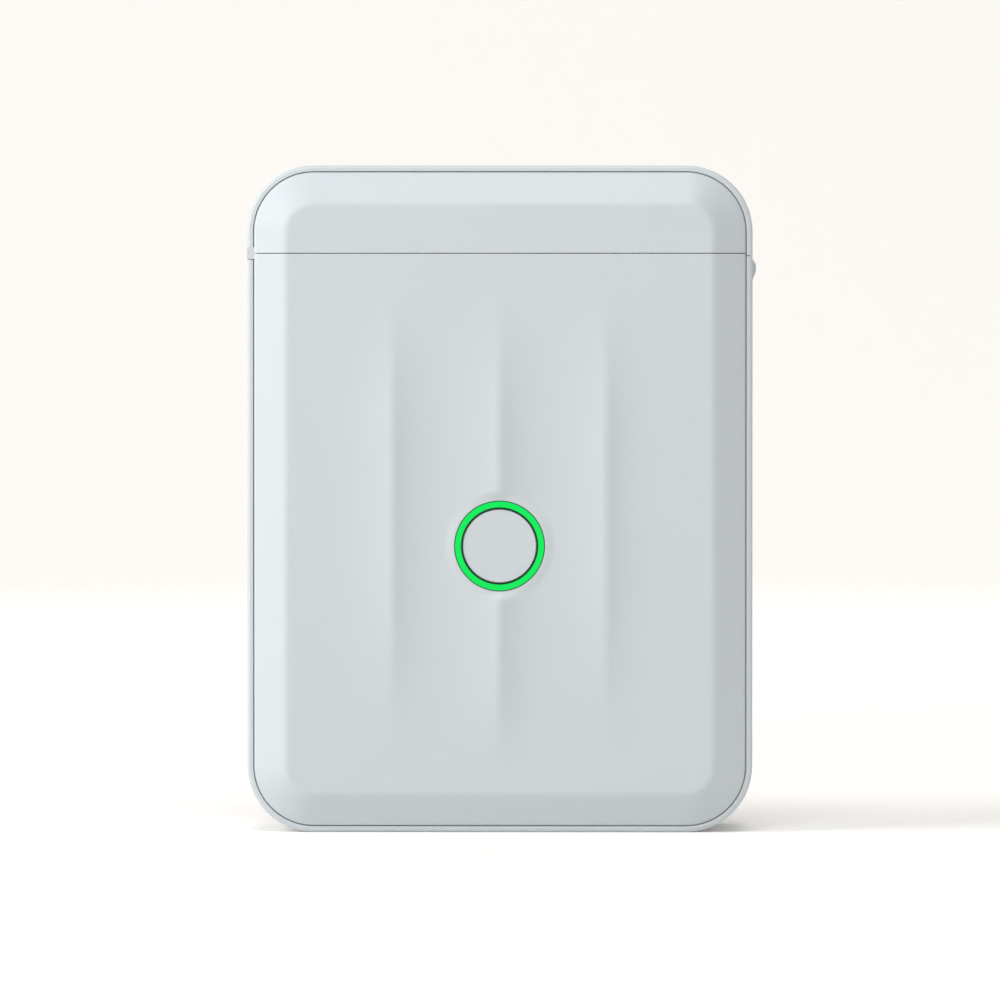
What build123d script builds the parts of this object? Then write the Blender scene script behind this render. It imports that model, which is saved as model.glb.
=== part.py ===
from build123d import *
import math
import os

# Pocket label printer with a flip-up lid, in millimetres.
# X runs to the right of the front view, Y runs from the front to the back, Z runs up.
# The origin lies on the base, in the middle of the width and of the depth.

# Case, outer sizes
WIDTH = 75.0
HEIGHT = 99.0
DEPTH = 29.0
CORNER = 9.9
WALL = 1.8
BACK_EDGE = 2.6
LID_HEIGHT = 13.0
LID_GAP = 0.12
LID_LINE = HEIGHT - LID_HEIGHT
FRONT = -DEPTH / 2
BACK = DEPTH / 2
INNER_BACK = BACK - WALL
WALL_RIGHT = WIDTH / 2 - WALL

# Front panel, set into the rim of the rear shell
RIM = 0.9
RIM_ROUND = 0.55
PANEL_GAP = 0.1
PANEL_WALL = 1.6
PANEL_LAP = 3.6
BEVEL_WIDTH = 4.8
BEVEL_DEPTH = 2.7

# Soft waves pressed into the panel
WAVE_PITCH = 15.8
WAVE_HEIGHT = 0.9
WAVE_RISE = 11.5
WAVE_FALL = 7.5
WAVE_ROUND = 0.7
WAVE_DROP = 16.5
WAVE_BOTTOM = 9.5
WAVE_FADE_TOP = 18.0
WAVE_FADE_BOTTOM = 20.0
WAVE_POINTS = 37

# Power button and its light ring
BUTTON_HEIGHT = 42.6
RING_OUTER = 6.68
RING_INNER = 5.56
RING_DEPTH = 2.1
RING_SKIRT = 0.25
BUTTON_GAP = 0.1
BUTTON_TRAVEL = 0.4
BUTTON_STEM = 1.6
PAD_RADIUS = 8.2
PAD_PROUD = 0.25

# Hinge along the left edge
HINGE_INSET = 0.6
KNUCKLE = 0.95
KNUCKLE_GAP = 0.1
HINGE_PIN = 0.4
PIN_FIT = 0.02
KNUCKLE_MIDDLE = 10.0

# Release button on the right side, measured from the lid line
RELEASE_DROP = 4.7
RELEASE_CLEAR = 0.6
RELEASE_MARGIN = 4.4
RELEASE_SHIFT = 0.8
RELEASE_PROUD = 0.67
RELEASE_TRAVEL = 1.2
RELEASE_GAP = 0.1
FLANGE = 1.0
FLANGE_THICK = 1.6
ARM_THICK = 1.1
ARM_LENGTH = 6.0
NOSE_LAP = 0.8
NOSE_HEIGHT = 1.1
CATCH_RISE = 1.0
CATCH_THICK = 0.8
ARM_ROOM = 1.4
CATCH_REACH = 1.1
LATCH_PLAY = 0.05

# Inner frame that parts the label bay from the works
WORKS_DEPTH = 9.6
FRAME_THICK = 1.2
FRAME_GAP = 0.25
BAY_WALL = 1.2
BAY_SIDE = 4.2
BAY_FOOT = 5.2
BAY_PLATEN_ROOM = 2.7
BAY_POST_ROOM = 6.5

# Case screws
POST_INSET = 6.3
POST_LOW = 8.5
POST_DROP = 9.5
POST_RADIUS = 3.0
LID_POST_RADIUS = 2.6
POST_ROOT = 0.5
BOSS_RADIUS = 2.4
BOSS_ROOT = 0.4
BOSS_FLOOR = 1.4
JOINT_GAP = 0.05
SCREW_HEAD = 1.9
SCREW_HEAD_THICK = 1.4
SCREW_SHANK = 0.8
SCREW_FIT = 0.1
SCREW_SEAT = 2.6
LID_SCREW_LEFT_INSET = 9.5
LID_SCREW_RIGHT_INSET = 7.3
LID_SCREW_DROP = 7.0

# Gear train, module and teeth
MODULE = 0.5
PINION_TEETH = 10
WHEEL_TEETH = 28
STEP_TEETH = 12
IDLER_TEETH = 20
PLATEN_TEETH = 16
BACKLASH = 0.06
CENTRE_EXTRA = 0.05
GEAR_THICK = 2.0
GEAR_LAYER_A_OUT = 2.5
GEAR_LAYER_B_OUT = 5.3
AXLE = 0.75
AXLE_FIT = 0.03
STEP_ANGLE = -75.0
MOTOR_ANGLE = -70.0

# Platen roller in the lid
PLATEN_INSET = 18.5
PLATEN_RISE = 3.0
PLATEN_RADIUS = 3.6
PLATEN_SHAFT = 1.2
ROLLER_FRONT_ROOM = 0.8
ROLLER_BACK_ROOM = 1.3
BUSH_RADIUS = 2.0
BUSH_FLANGE = 2.6
CHEEK = 1.0
CHEEK_GAP = 0.3
CARRIER_LEFT = 6.0
CARRIER_RIGHT = 2.2
CARRIER_PLATE = 1.4
CARRIER_SWELL = 3.2
CARRIER_WAIST = 3.0
CARRIER_DROP = 2.6
CARRIER_RISE = 1.5

# Print head in the body
NIP_GAP = 0.05
CERAMIC_THICK = 1.0
CERAMIC_HEIGHT = 7.0
CERAMIC_DROP = 3.6
SINK_THICK = 2.0
SINK_RISE = 3.0
PIVOT_DROP = 14.0
PIVOT_PIN = 0.8
PIVOT_BOSS = 1.8
HEAD_SPRING_DROP = 5.4
HEAD_SPRING_FRONT_IN = 3.9
HEAD_SPRING_BACK_IN = 3.4

# Springs
SPRING_WIRE = 0.18
HEAD_COIL = 1.1
RELEASE_COIL = 1.3
RELEASE_SPRING_RISE = 1.5
COIL_TURNS = 3
SPRING_WALL_INSET = 7.1
SPRING_WALL = 1.6

# Motor
MOTOR_RADIUS = 7.5
MOTOR_LENGTH = 11.0
MOTOR_EAR = 5.6
MOTOR_EAR_ANGLE = 20.0
MOTOR_SCREW = 0.6

# Circuit board and battery
BOARD_SIDE = 1.32
BOARD_BUTTON_DROP = 13.1
BOARD_TOP_DROP = 6.0
BOARD_OUT = 3.1
BOARD_THICK = 1.0
BOARD_POST_IN = 2.4
BOARD_POST_DROP = 5.4
SWITCH_SIZE = 6.0
SWITCH_THICK = 1.0
LED_THICK = 0.7
BATTERY_SIDE = 10.5
BATTERY_PORT_ROOM = 11.0
BATTERY_LOW = 5.2
BATTERY_BOARD_GAP = 1.5
BATTERY_OUT = 7.3
BATTERY_THICK = 5.9
BATTERY_EDGE = 1.6
FOAM_MARGIN = 4.0

# Charging socket in the base
PORT_INSET = 16.5
PORT_WIDTH = 8.9
PORT_THICK = 3.2
PORT_DEPTH = 7.3
PORT_WALL = 0.3
PORT_GAP = 0.15
PORT_OUT = 1.65
PORT_BOARD_LEFT = 7.5
PORT_BOARD_RIGHT = 7.0
PORT_BOARD_TOP = 14.0
PORT_BOARD_THICK = 0.8

# Label slot and tear edge in the lid
SLOT_WIDTH = 2.4
BLADE_THICK = 0.5
BLADE_HEIGHT = 5.0
BLADE_SINK = 0.1
TOOTH_PITCH = 1.2
TOOTH_HEIGHT = 0.7

# Label sensor beside the bay
SENSOR_DROP = 34.0
SENSOR_HEIGHT = 5.0
SENSOR_WIDE = 1.6
SENSOR_THICK = 5.0

# Depths that follow from the sizes above
RING_FRONT = FRONT - PAD_PROUD
RIM_FRONT = FRONT + BEVEL_DEPTH
PANEL_BACK = RIM_FRONT + PANEL_LAP
INNER_FRONT = FRONT + PANEL_WALL
FRAME_FRONT = FRONT + WORKS_DEPTH
FRAME_BACK = FRAME_FRONT + FRAME_THICK
BAY_DEPTH = INNER_BACK - FRAME_BACK
BAY_MIDDLE = (FRAME_BACK + INNER_BACK) / 2
GEAR_LAYER_A = FRAME_FRONT - GEAR_LAYER_A_OUT
GEAR_LAYER_B = FRAME_FRONT - GEAR_LAYER_B_OUT
ROLLER_FRONT = FRAME_BACK + ROLLER_FRONT_ROOM
ROLLER_LENGTH = INNER_BACK - ROLLER_BACK_ROOM - ROLLER_FRONT
BOARD_FRONT = FRAME_FRONT - BOARD_OUT
BATTERY_FRONT = FRAME_FRONT - BATTERY_OUT
PORT_Y = FRAME_FRONT - PORT_OUT
SLOT_LENGTH = BAY_DEPTH
RELEASE_LENGTH = BAY_DEPTH - RELEASE_MARGIN
RELEASE_Y = BAY_MIDDLE - RELEASE_SHIFT

# Places across the width
HINGE_X = -WIDTH / 2 + HINGE_INSET
SOCKET = KNUCKLE + KNUCKLE_GAP
POST_X = WIDTH / 2 - POST_INSET
PLATEN_X = WIDTH / 2 - PLATEN_INSET
NIP_X = PLATEN_X + PLATEN_RADIUS
SINK_X = NIP_X + NIP_GAP + CERAMIC_THICK
PIVOT_X = SINK_X + SINK_THICK / 2
SPRING_WALL_X = WALL_RIGHT - SPRING_WALL_INSET
BAY_LEFT = -WIDTH / 2 + BAY_SIDE
BAY_RIGHT = PLATEN_X - BAY_PLATEN_ROOM
BAY_RADIUS = (BAY_RIGHT - BAY_LEFT) / 2 - BAY_WALL
BAY_X = (BAY_LEFT + BAY_RIGHT) / 2
PORT_X = WIDTH / 2 - PORT_INSET
BOARD_LEFT = -POST_X + POST_RADIUS
BOARD_RIGHT = RING_OUTER + BOARD_SIDE
BATTERY_LEFT = -WIDTH / 2 + BATTERY_SIDE
BATTERY_RIGHT = PORT_X - BATTERY_PORT_ROOM

# Heights
WAVE_TOP = HEIGHT - WAVE_DROP
BLADE_TOP = HEIGHT - BLADE_SINK
LID_SCREW_Z = HEIGHT - LID_SCREW_DROP
RELEASE_LOW = LID_LINE - RELEASE_DROP
RELEASE_HIGH = LID_LINE - RELEASE_CLEAR
RELEASE_SPRING_Z = RELEASE_LOW + RELEASE_SPRING_RISE
CATCH_LOW = LID_LINE + CATCH_RISE
CATCH_HIGH = CATCH_LOW + CATCH_THICK
POST_HIGH = LID_LINE - POST_DROP
BAY_Z = BAY_FOOT + BAY_WALL + BAY_RADIUS
BAY_TOP = POST_HIGH - BAY_POST_ROOM
PLATEN_Z = LID_LINE + PLATEN_RISE
CERAMIC_LOW = PLATEN_Z - CERAMIC_DROP
SINK_TOP = PLATEN_Z + SINK_RISE
PIVOT_Z = PLATEN_Z - PIVOT_DROP
HEAD_SPRING_Z = PLATEN_Z - HEAD_SPRING_DROP
SENSOR_HIGH = PLATEN_Z - SENSOR_DROP
BOARD_LOW = BUTTON_HEIGHT - BOARD_BUTTON_DROP
BOARD_HIGH = LID_LINE - BOARD_TOP_DROP
BATTERY_HIGH = BOARD_LOW - BATTERY_BOARD_GAP


def centre_distance(teeth_a, teeth_b):
    """Distance between two meshing gears, with a little play."""
    return MODULE * (teeth_a + teeth_b) / 2 + CENTRE_EXTRA


def step_from(x, z, distance, degrees):
    """Point at a distance and angle from another, in the front view."""
    angle = math.radians(degrees)
    return x + distance * math.cos(angle), z + distance * math.sin(angle)


IDLER_X = PLATEN_X
IDLER_Z = PLATEN_Z - centre_distance(PLATEN_TEETH, IDLER_TEETH)
STEP_X, STEP_Z = step_from(IDLER_X, IDLER_Z, centre_distance(IDLER_TEETH, STEP_TEETH), STEP_ANGLE)
MOTOR_X, MOTOR_Z = step_from(STEP_X, STEP_Z, centre_distance(WHEEL_TEETH, PINION_TEETH), MOTOR_ANGLE)


def front_plane(y, x=0.0, z=0.0):
    """Plane seen from the front at depth y; its normal runs to the back."""
    return Plane(origin=(x, y, z), x_dir=(1, 0, 0), z_dir=(0, -1, 0))


def slab(plane, points, thick):
    """Flat piece on a closed outline, grown along the plane's normal."""
    return extrude(plane * Polygon(*points, align=None), thick, dir=plane.z_dir)


def block(x0, x1, y0, y1, z0, z1):
    """Box between six faces."""
    size = (x1 - x0, y1 - y0, z1 - z0)
    middle = ((x0 + x1) / 2, (y0 + y1) / 2, (z0 + z1) / 2)
    return Pos(*middle) * Box(*size)


def rod_y(radius, x, z, y0, y1):
    """Cylinder along Y."""
    return Pos(x, (y0 + y1) / 2, z) * Rot(90, 0, 0) * Cylinder(radius, y1 - y0)


def tube_y(outer, inner, x, z, y0, y1):
    """Ring or tube along Y."""
    return rod_y(outer, x, z, y0, y1) - rod_y(inner, x, z, y0, y1)


def case_sketch(inset, y):
    """Rounded outline of the case at depth y, moved in by an inset."""
    outline = RectangleRounded(WIDTH - 2 * inset, HEIGHT - 2 * inset, CORNER - inset)
    return front_plane(y, 0, HEIGHT / 2) * outline


def case_prism(inset, y0, y1):
    """Prism on the case outline between two depths."""
    return extrude(case_sketch(inset, y1), y1 - y0)


def lid_zone(drop=0.0):
    """Everything that belongs to the lid: above the parting line, with a lip at the right."""
    reach = WIDTH
    lip = RELEASE_HIGH + LID_GAP
    points = [
        (-reach, LID_LINE - drop),
        (WALL_RIGHT + 0.55, LID_LINE - drop),
        (WIDTH / 2 - RIM + 0.1, lip + LID_GAP - drop),
        (reach, lip + LID_GAP - drop),
        (reach, HEIGHT + reach),
        (-reach, HEIGHT + reach),
    ]
    return slab(front_plane(BACK + reach), points, DEPTH + 2 * reach)


def hinge_round(radius, y0, y1):
    """Barrel round the hinge axis, kept inside the side of the case."""
    return rod_y(radius, HINGE_X, LID_LINE, y0, y1) & case_prism(0, FRONT - 1, BACK + 1)


def knuckle_zones():
    """Depth spans of the front, middle and rear hinge knuckles."""
    half = KNUCKLE_MIDDLE / 2
    middle = (RIM_FRONT + BACK) / 2
    front = (RIM_FRONT, middle - half - KNUCKLE_GAP)
    body = (middle - half, middle + half)
    rear = (middle + half + KNUCKLE_GAP, BACK - BACK_EDGE)
    return front, body, rear


def to_body(shape):
    """Lower half of a shell, with the round socket for the lid's knuckles."""
    front, body, rear = knuckle_zones()
    piece = shape - lid_zone(LID_GAP)
    for y0, y1 in ((FRONT - 1, front[1] + KNUCKLE_GAP), (rear[0] - KNUCKLE_GAP, BACK + 1)):
        piece -= rod_y(SOCKET, HINGE_X, LID_LINE, y0, y1)
    return piece


def to_lid(shape):
    """Upper half of a shell, open where the body's knuckle stands."""
    body = knuckle_zones()[1]
    y0, y1 = body[0] - KNUCKLE_GAP, body[1] + KNUCKLE_GAP
    return (shape & lid_zone()) - rod_y(SOCKET, HINGE_X, LID_LINE, y0, y1)


def release_hole(gap):
    """Opening for the release button in the right wall."""
    y0, y1 = RELEASE_Y - RELEASE_LENGTH / 2 - gap, RELEASE_Y + RELEASE_LENGTH / 2 + gap
    return block(WALL_RIGHT - 1, WIDTH / 2 + 2, y0, y1, RELEASE_LOW - gap, LID_LINE + 1)


def post_places():
    """Centres of the four long case screws."""
    return [(x, z) for x in (-POST_X, POST_X) for z in (POST_LOW, POST_HIGH)]


def lid_screw_places():
    """Centres of the two lid screws."""
    left = -WIDTH / 2 + LID_SCREW_LEFT_INSET
    right = WIDTH / 2 - LID_SCREW_RIGHT_INSET
    return [(left, LID_SCREW_Z), (right, LID_SCREW_Z)]


def rear_blank():
    """Whole rear tub, before it is parted at the lid line."""
    tub = case_prism(0, RIM_FRONT, BACK)
    tub = fillet(tub.faces().sort_by(Axis.Y)[-1].edges(), BACK_EDGE)
    tub = fillet(tub.faces().sort_by(Axis.Y)[0].edges(), RIM_ROUND)
    tub -= case_prism(WALL, PANEL_BACK - 1, INNER_BACK)
    tub -= case_prism(RIM, RIM_FRONT - 1, PANEL_BACK)
    return tub


def screw_post(radius, x, z, y0):
    """Post from depth y0 into the back wall."""
    return rod_y(radius, x, z, y0, INNER_BACK + POST_ROOT)


def screw_way(x, z):
    """Clearance hole and counterbore of a screw through the rear shell."""
    seat = FRAME_BACK + SCREW_SEAT
    hole = rod_y(SCREW_SHANK + SCREW_FIT, x, z, FRAME_BACK - 1, seat + 1)
    return hole + rod_y(SCREW_HEAD + SCREW_FIT, x, z, seat, BACK + 1)


def rear_shell():
    shell = to_body(rear_blank())
    shell -= release_hole(RELEASE_GAP)
    for x, z in post_places():
        shell += screw_post(POST_RADIUS, x, z, FRAME_BACK)
    for x, z in post_places():
        shell -= screw_way(x, z)
    body = knuckle_zones()[1]
    shell += hinge_round(KNUCKLE, *body) & case_prism(0, FRONT, BACK)
    shell -= rod_y(HINGE_PIN + PIN_FIT, HINGE_X, LID_LINE, FRONT, BACK + 1)
    way = Rectangle(PORT_WIDTH + 2 * PORT_GAP, PORT_THICK + 2 * PORT_GAP)
    way = fillet(way.vertices(), PORT_THICK / 2)
    shell -= extrude(Plane(origin=(PORT_X, PORT_Y, -1)) * way, WALL + 3)
    return shell


def fade_in(distance, length):
    """Smooth step from 0 to 1 over a length."""
    share = min(max(distance / length, 0.0), 1.0)
    return share * share * (3 - 2 * share)


def raw_wave(x):
    """Waves with sharp crests: each rises and falls along a parabola."""
    total = 0.0
    for crest in (-WAVE_PITCH, 0.0, WAVE_PITCH):
        along = x - crest
        share = 1 + along / WAVE_RISE if along <= 0 else 1 - along / WAVE_FALL
        total += max(share, 0.0) ** 2
    return total


def wave_profile(x):
    """Height of the waves at full strength, as a share, averaged to round the crests."""
    offsets = [WAVE_ROUND * step / 2 for step in (-2, -1, 0, 1, 2)]
    return sum(raw_wave(x + offset) for offset in offsets) / len(offsets)


def wave_section(z):
    """Closed outline at one height: waved front edge and straight back edge."""
    strength = WAVE_HEIGHT * fade_in(z - WAVE_BOTTOM, WAVE_FADE_BOTTOM)
    strength *= fade_in(WAVE_TOP - z, WAVE_FADE_TOP)
    left = -WAVE_PITCH - WAVE_RISE - WAVE_ROUND
    right = WAVE_PITCH + WAVE_FALL + WAVE_ROUND
    edge = WIDTH / 2 + 1
    back = PANEL_BACK + 2
    points = []
    for i in range(WAVE_POINTS):
        x = left + (right - left) * i / (WAVE_POINTS - 1)
        points.append((x, FRONT - strength * wave_profile(x), z))
    level = Vector(1, 0, 0)
    waved = Edge.make_spline([Vector(*p) for p in points], tangents=[level, level])
    corners = [points[-1], (edge, FRONT, z), (edge, back, z)]
    corners += [(-edge, back, z), (-edge, FRONT, z), points[0]]
    lines = [Edge.make_line(Vector(*a), Vector(*b)) for a, b in zip(corners, corners[1:])]
    return Face(Wire([waved] + lines))


def wave_block():
    """Block whose front face carries the waves, flat round the power button."""
    heights = [-1.0, WAVE_BOTTOM]
    steps = 4
    for i in range(1, steps + 1):
        heights.append(WAVE_BOTTOM + WAVE_FADE_BOTTOM * i / steps)
    for i in range(steps):
        heights.append(WAVE_TOP - WAVE_FADE_TOP * (steps - i) / steps)
    heights += [WAVE_TOP, HEIGHT + 1]
    solid = loft([wave_section(z) for z in heights], ruled=True)
    solid -= rod_y(PAD_RADIUS, 0, BUTTON_HEIGHT, FRONT - 2, RING_FRONT)
    return solid + rod_y(PAD_RADIUS, 0, BUTTON_HEIGHT, RING_FRONT, PANEL_BACK)


def bevel_loft(inset, start, stretch):
    """Sloping front of the panel, carried on past the flat by a share."""
    low = case_sketch(inset, start)
    high = case_sketch(inset + BEVEL_WIDTH * stretch, start - BEVEL_DEPTH * stretch)
    return loft([low, high], ruled=True)


def panel_blank():
    """Whole front panel, before it is parted at the lid line."""
    inset = RIM + PANEL_GAP
    stretch = 1.3
    solid = bevel_loft(inset, RIM_FRONT, stretch) + case_prism(inset, RIM_FRONT, PANEL_BACK)
    solid &= wave_block()
    slope = math.atan2(BEVEL_DEPTH, BEVEL_WIDTH)
    back_off = PANEL_WALL / math.cos(slope)
    hollow = bevel_loft(inset, RIM_FRONT + back_off, stretch)
    hollow += case_prism(inset, RIM_FRONT + back_off, PANEL_BACK + 1)
    hollow &= case_prism(inset + PANEL_WALL, INNER_FRONT, PANEL_BACK + 1)
    solid -= hollow
    return solid - rod_y(SOCKET, HINGE_X, LID_LINE, FRONT - 1, BACK)


def front_shell(blank):
    shell = blank - lid_zone(LID_GAP)
    ring = RING_OUTER + BUTTON_GAP / 2
    shell += rod_y(ring + 1.2, 0, BUTTON_HEIGHT, INNER_FRONT - 0.3, INNER_FRONT + 1.4)
    shell -= rod_y(ring, 0, BUTTON_HEIGHT, FRONT - 2, INNER_FRONT + 2)
    for x, z in post_places():
        shell += rod_y(BOSS_RADIUS, x, z, INNER_FRONT - BOSS_ROOT, FRAME_FRONT - JOINT_GAP)
        shell -= rod_y(SCREW_SHANK, x, z, INNER_FRONT + BOSS_FLOOR, FRAME_FRONT + 1)
    return shell


def lid_front(blank):
    shell = blank & lid_zone()
    for x, z in lid_screw_places():
        shell += rod_y(BOSS_RADIUS, x, z, INNER_FRONT - BOSS_ROOT, FRAME_FRONT)
        shell -= rod_y(SCREW_SHANK, x, z, INNER_FRONT + BOSS_FLOOR, FRAME_FRONT + 1)
    return shell


def slot_way():
    """Label slot through the top of the lid, above the nip."""
    y0 = BAY_MIDDLE - SLOT_LENGTH / 2
    half = SLOT_WIDTH / 2
    return block(NIP_X - half, NIP_X + half, y0, y0 + SLOT_LENGTH, HEIGHT - 4, HEIGHT + 1)


def lid_rear():
    shell = to_lid(rear_blank())
    front, body, rear = knuckle_zones()
    for span in (front, rear):
        shell += hinge_round(KNUCKLE, *span)
    shell -= rod_y(HINGE_PIN + PIN_FIT, HINGE_X, LID_LINE, RIM_FRONT + 0.8, BACK)
    shell -= slot_way()
    y0 = RELEASE_Y - ARM_LENGTH / 2 - 1
    x0, y1 = WALL_RIGHT - CATCH_REACH, y0 + ARM_LENGTH + 2
    shell += block(x0, WALL_RIGHT + 0.5, y0, y1, CATCH_LOW, CATCH_HIGH)
    for x, z in lid_screw_places():
        shell += screw_post(LID_POST_RADIUS, x, z, FRAME_FRONT + JOINT_GAP)
        seat = FRAME_FRONT + SCREW_SEAT
        shell -= rod_y(SCREW_SHANK + SCREW_FIT, x, z, FRAME_FRONT - 1, seat + 1)
        shell -= rod_y(SCREW_HEAD + SCREW_FIT, x, z, seat, BACK + 1)
    return shell


def hinge_pin():
    return rod_y(HINGE_PIN, HINGE_X, LID_LINE, RIM_FRONT + 0.9, BACK - BACK_EDGE)


def cross_screw(x, z, seat, length):
    """Screw from the back, with a cross in its head."""
    head_back = seat + SCREW_HEAD_THICK
    screw = rod_y(SCREW_HEAD, x, z, seat, head_back)
    screw = chamfer(screw.edges().sort_by(Axis.Y)[-1], 0.4)
    screw += rod_y(SCREW_SHANK, x, z, seat - length, seat)
    for width, height in ((1.8, 0.4), (0.4, 1.8)):
        cross = block(-width / 2, width / 2, head_back - 0.7, head_back + 1, -height / 2, height / 2)
        screw -= Pos(x, 0, z) * cross
    return screw


def case_screws():
    seat = FRAME_BACK + SCREW_SEAT
    length = seat - INNER_FRONT - 2.0
    return [cross_screw(x, z, seat, length) for x, z in post_places()]


def lid_screws():
    seat = FRAME_FRONT + SCREW_SEAT
    length = seat - INNER_FRONT - 2.0
    return [cross_screw(x, z, seat, length) for x, z in lid_screw_places()]


def bay_cradle():
    """Trough wall that the label roll turns in, open at the top."""
    outer = BAY_RADIUS + BAY_WALL
    y0, y1 = FRAME_BACK - 0.2, INNER_BACK - FRAME_GAP
    ring = tube_y(outer, BAY_RADIUS, BAY_X, BAY_Z, y0, y1)
    ring &= block(BAY_X - outer - 1, BAY_X + outer + 1, y0, y1, 0, BAY_Z)
    left = block(BAY_X - outer, BAY_X - BAY_RADIUS, y0, y1, BAY_Z, BAY_TOP)
    right = block(BAY_X + BAY_RADIUS, BAY_X + outer, y0, y1, BAY_Z, BAY_TOP)
    return ring + left + right


def spring_wall():
    """Rib behind the print head that both springs lean on."""
    top = RELEASE_HIGH - 0.2
    low = POST_HIGH + POST_RADIUS + 0.4
    y1 = INNER_BACK - FRAME_GAP
    return block(SPRING_WALL_X, SPRING_WALL_X + SPRING_WALL, FRAME_BACK - 0.2, y1, low, top)


def label_bay():
    """Inner frame: partition, cradle for the roll, spring rib and board posts."""
    inset = WALL + FRAME_GAP
    plate = case_prism(inset, FRAME_FRONT, FRAME_BACK)
    plate -= lid_zone(LID_GAP + 0.4)
    frame = plate + bay_cradle() + spring_wall()
    for x, z in board_posts():
        frame += rod_y(1.8, x, z, BOARD_FRONT + BOARD_THICK, FRAME_FRONT + 0.3)
    for x, z in board_posts():
        frame -= rod_y(0.6, x, z, BOARD_FRONT, FRAME_FRONT + 0.6)
    for x, z in post_places():
        frame -= rod_y(SCREW_SHANK + SCREW_FIT, x, z, FRAME_FRONT - 1, FRAME_BACK + 1)
    frame -= rod_y(AXLE, STEP_X, STEP_Z, FRAME_FRONT - 1, FRAME_BACK + 1)
    frame -= rod_y(AXLE, IDLER_X, IDLER_Z, FRAME_FRONT - 1, FRAME_BACK + 1)
    frame -= rod_y(2.2, MOTOR_X, MOTOR_Z, FRAME_FRONT - 1, FRAME_BACK + 1)
    for side in (-1, 1):
        hole_x = MOTOR_X + side * MOTOR_EAR * math.cos(math.radians(MOTOR_EAR_ANGLE))
        hole_z = MOTOR_Z + side * MOTOR_EAR * math.sin(math.radians(MOTOR_EAR_ANGLE))
        frame -= rod_y(MOTOR_SCREW, hole_x, hole_z, FRAME_FRONT - 1, FRAME_BACK + 1)
    frame -= rod_y(PIVOT_PIN, PIVOT_X, PIVOT_Z, FRAME_FRONT + 0.4, FRAME_BACK + 1)
    return frame


def board_posts():
    """Centres of the four posts under the circuit board."""
    left, right = BOARD_LEFT + BOARD_POST_IN, BOARD_RIGHT - BOARD_POST_IN
    low, high = BOARD_LOW + BOARD_POST_IN, BOARD_HIGH - BOARD_POST_DROP
    return [(x, z) for x in (left, right) for z in (low, high)]


def gear_outline(teeth, phase):
    """Closed outline of a spur gear: involute flanks, root and tip lands."""
    pitch = MODULE * teeth / 2
    base = pitch * math.cos(math.radians(20))
    tip = pitch + 0.85 * MODULE
    root = pitch - 1.2 * MODULE

    def involute(radius):
        angle = math.acos(min(1.0, base / radius))
        return math.tan(angle) - angle

    half = math.pi / (2 * teeth) - BACKLASH / (2 * pitch) + involute(pitch)
    flank = [max(base, root + 0.05), pitch, tip]
    points = []
    for tooth in range(teeth):
        middle = math.radians(phase) + 2 * math.pi * tooth / teeth
        start = half - involute(flank[0])
        rise = [(root, -start)] + [(r, -(half - involute(r))) for r in flank]
        fall = [(r, -a) for r, a in reversed(rise)]
        for radius, angle in rise + fall:
            points.append((radius * math.cos(middle + angle), radius * math.sin(middle + angle)))
    return points


def gear(teeth, x, z, y0, thick, phase):
    """Solid spur gear from depth y0 towards the back."""
    return slab(front_plane(y0 + thick, x, z), gear_outline(teeth, phase), thick)


def meshed_phase(phase, teeth, degrees, other_teeth):
    """Phase of a gear that meshes with another one lying at an angle from it."""
    share = (degrees - phase) * teeth / 360
    return degrees + 180 - (0.5 - share) * 360 / other_teeth


PLATEN_PHASE = 90.0
IDLER_PHASE = meshed_phase(PLATEN_PHASE, PLATEN_TEETH, -90.0, IDLER_TEETH)
STEP_PHASE = meshed_phase(IDLER_PHASE, IDLER_TEETH, STEP_ANGLE, STEP_TEETH)
PINION_PHASE = meshed_phase(STEP_PHASE, WHEEL_TEETH, MOTOR_ANGLE, PINION_TEETH)


def motor_pinion():
    """Brass pinion with the motor's shaft."""
    piece = gear(PINION_TEETH, MOTOR_X, MOTOR_Z, GEAR_LAYER_B, GEAR_THICK, PINION_PHASE)
    return piece + rod_y(0.75, MOTOR_X, MOTOR_Z, GEAR_LAYER_B - 0.4, FRAME_BACK + 4)


def step_gear():
    """Compound gear: wide wheel in front, small gear behind it."""
    wheel = gear(WHEEL_TEETH, STEP_X, STEP_Z, GEAR_LAYER_B, GEAR_THICK - 0.4, STEP_PHASE)
    groove = tube_y(5.2, 2.4, STEP_X, STEP_Z, GEAR_LAYER_B - 1, GEAR_LAYER_B + 0.5)
    small = gear(STEP_TEETH, STEP_X, STEP_Z, GEAR_LAYER_B + GEAR_THICK - 0.5, 2.9, STEP_PHASE)
    hub = rod_y(1.6, STEP_X, STEP_Z, GEAR_LAYER_A + 1, FRAME_FRONT - 0.1)
    bore = rod_y(AXLE + AXLE_FIT, STEP_X, STEP_Z, FRONT, FRAME_FRONT)
    return wheel - groove + small + hub - bore


def idler_gear():
    piece = gear(IDLER_TEETH, IDLER_X, IDLER_Z, GEAR_LAYER_A, GEAR_THICK, IDLER_PHASE)
    piece += rod_y(1.7, IDLER_X, IDLER_Z, GEAR_LAYER_A - 0.4, FRAME_FRONT - 0.1)
    piece -= tube_y(3.6, 2.2, IDLER_X, IDLER_Z, GEAR_LAYER_A - 1, GEAR_LAYER_A + 0.5)
    return piece - rod_y(AXLE + AXLE_FIT, IDLER_X, IDLER_Z, FRONT, FRAME_FRONT)


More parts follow.
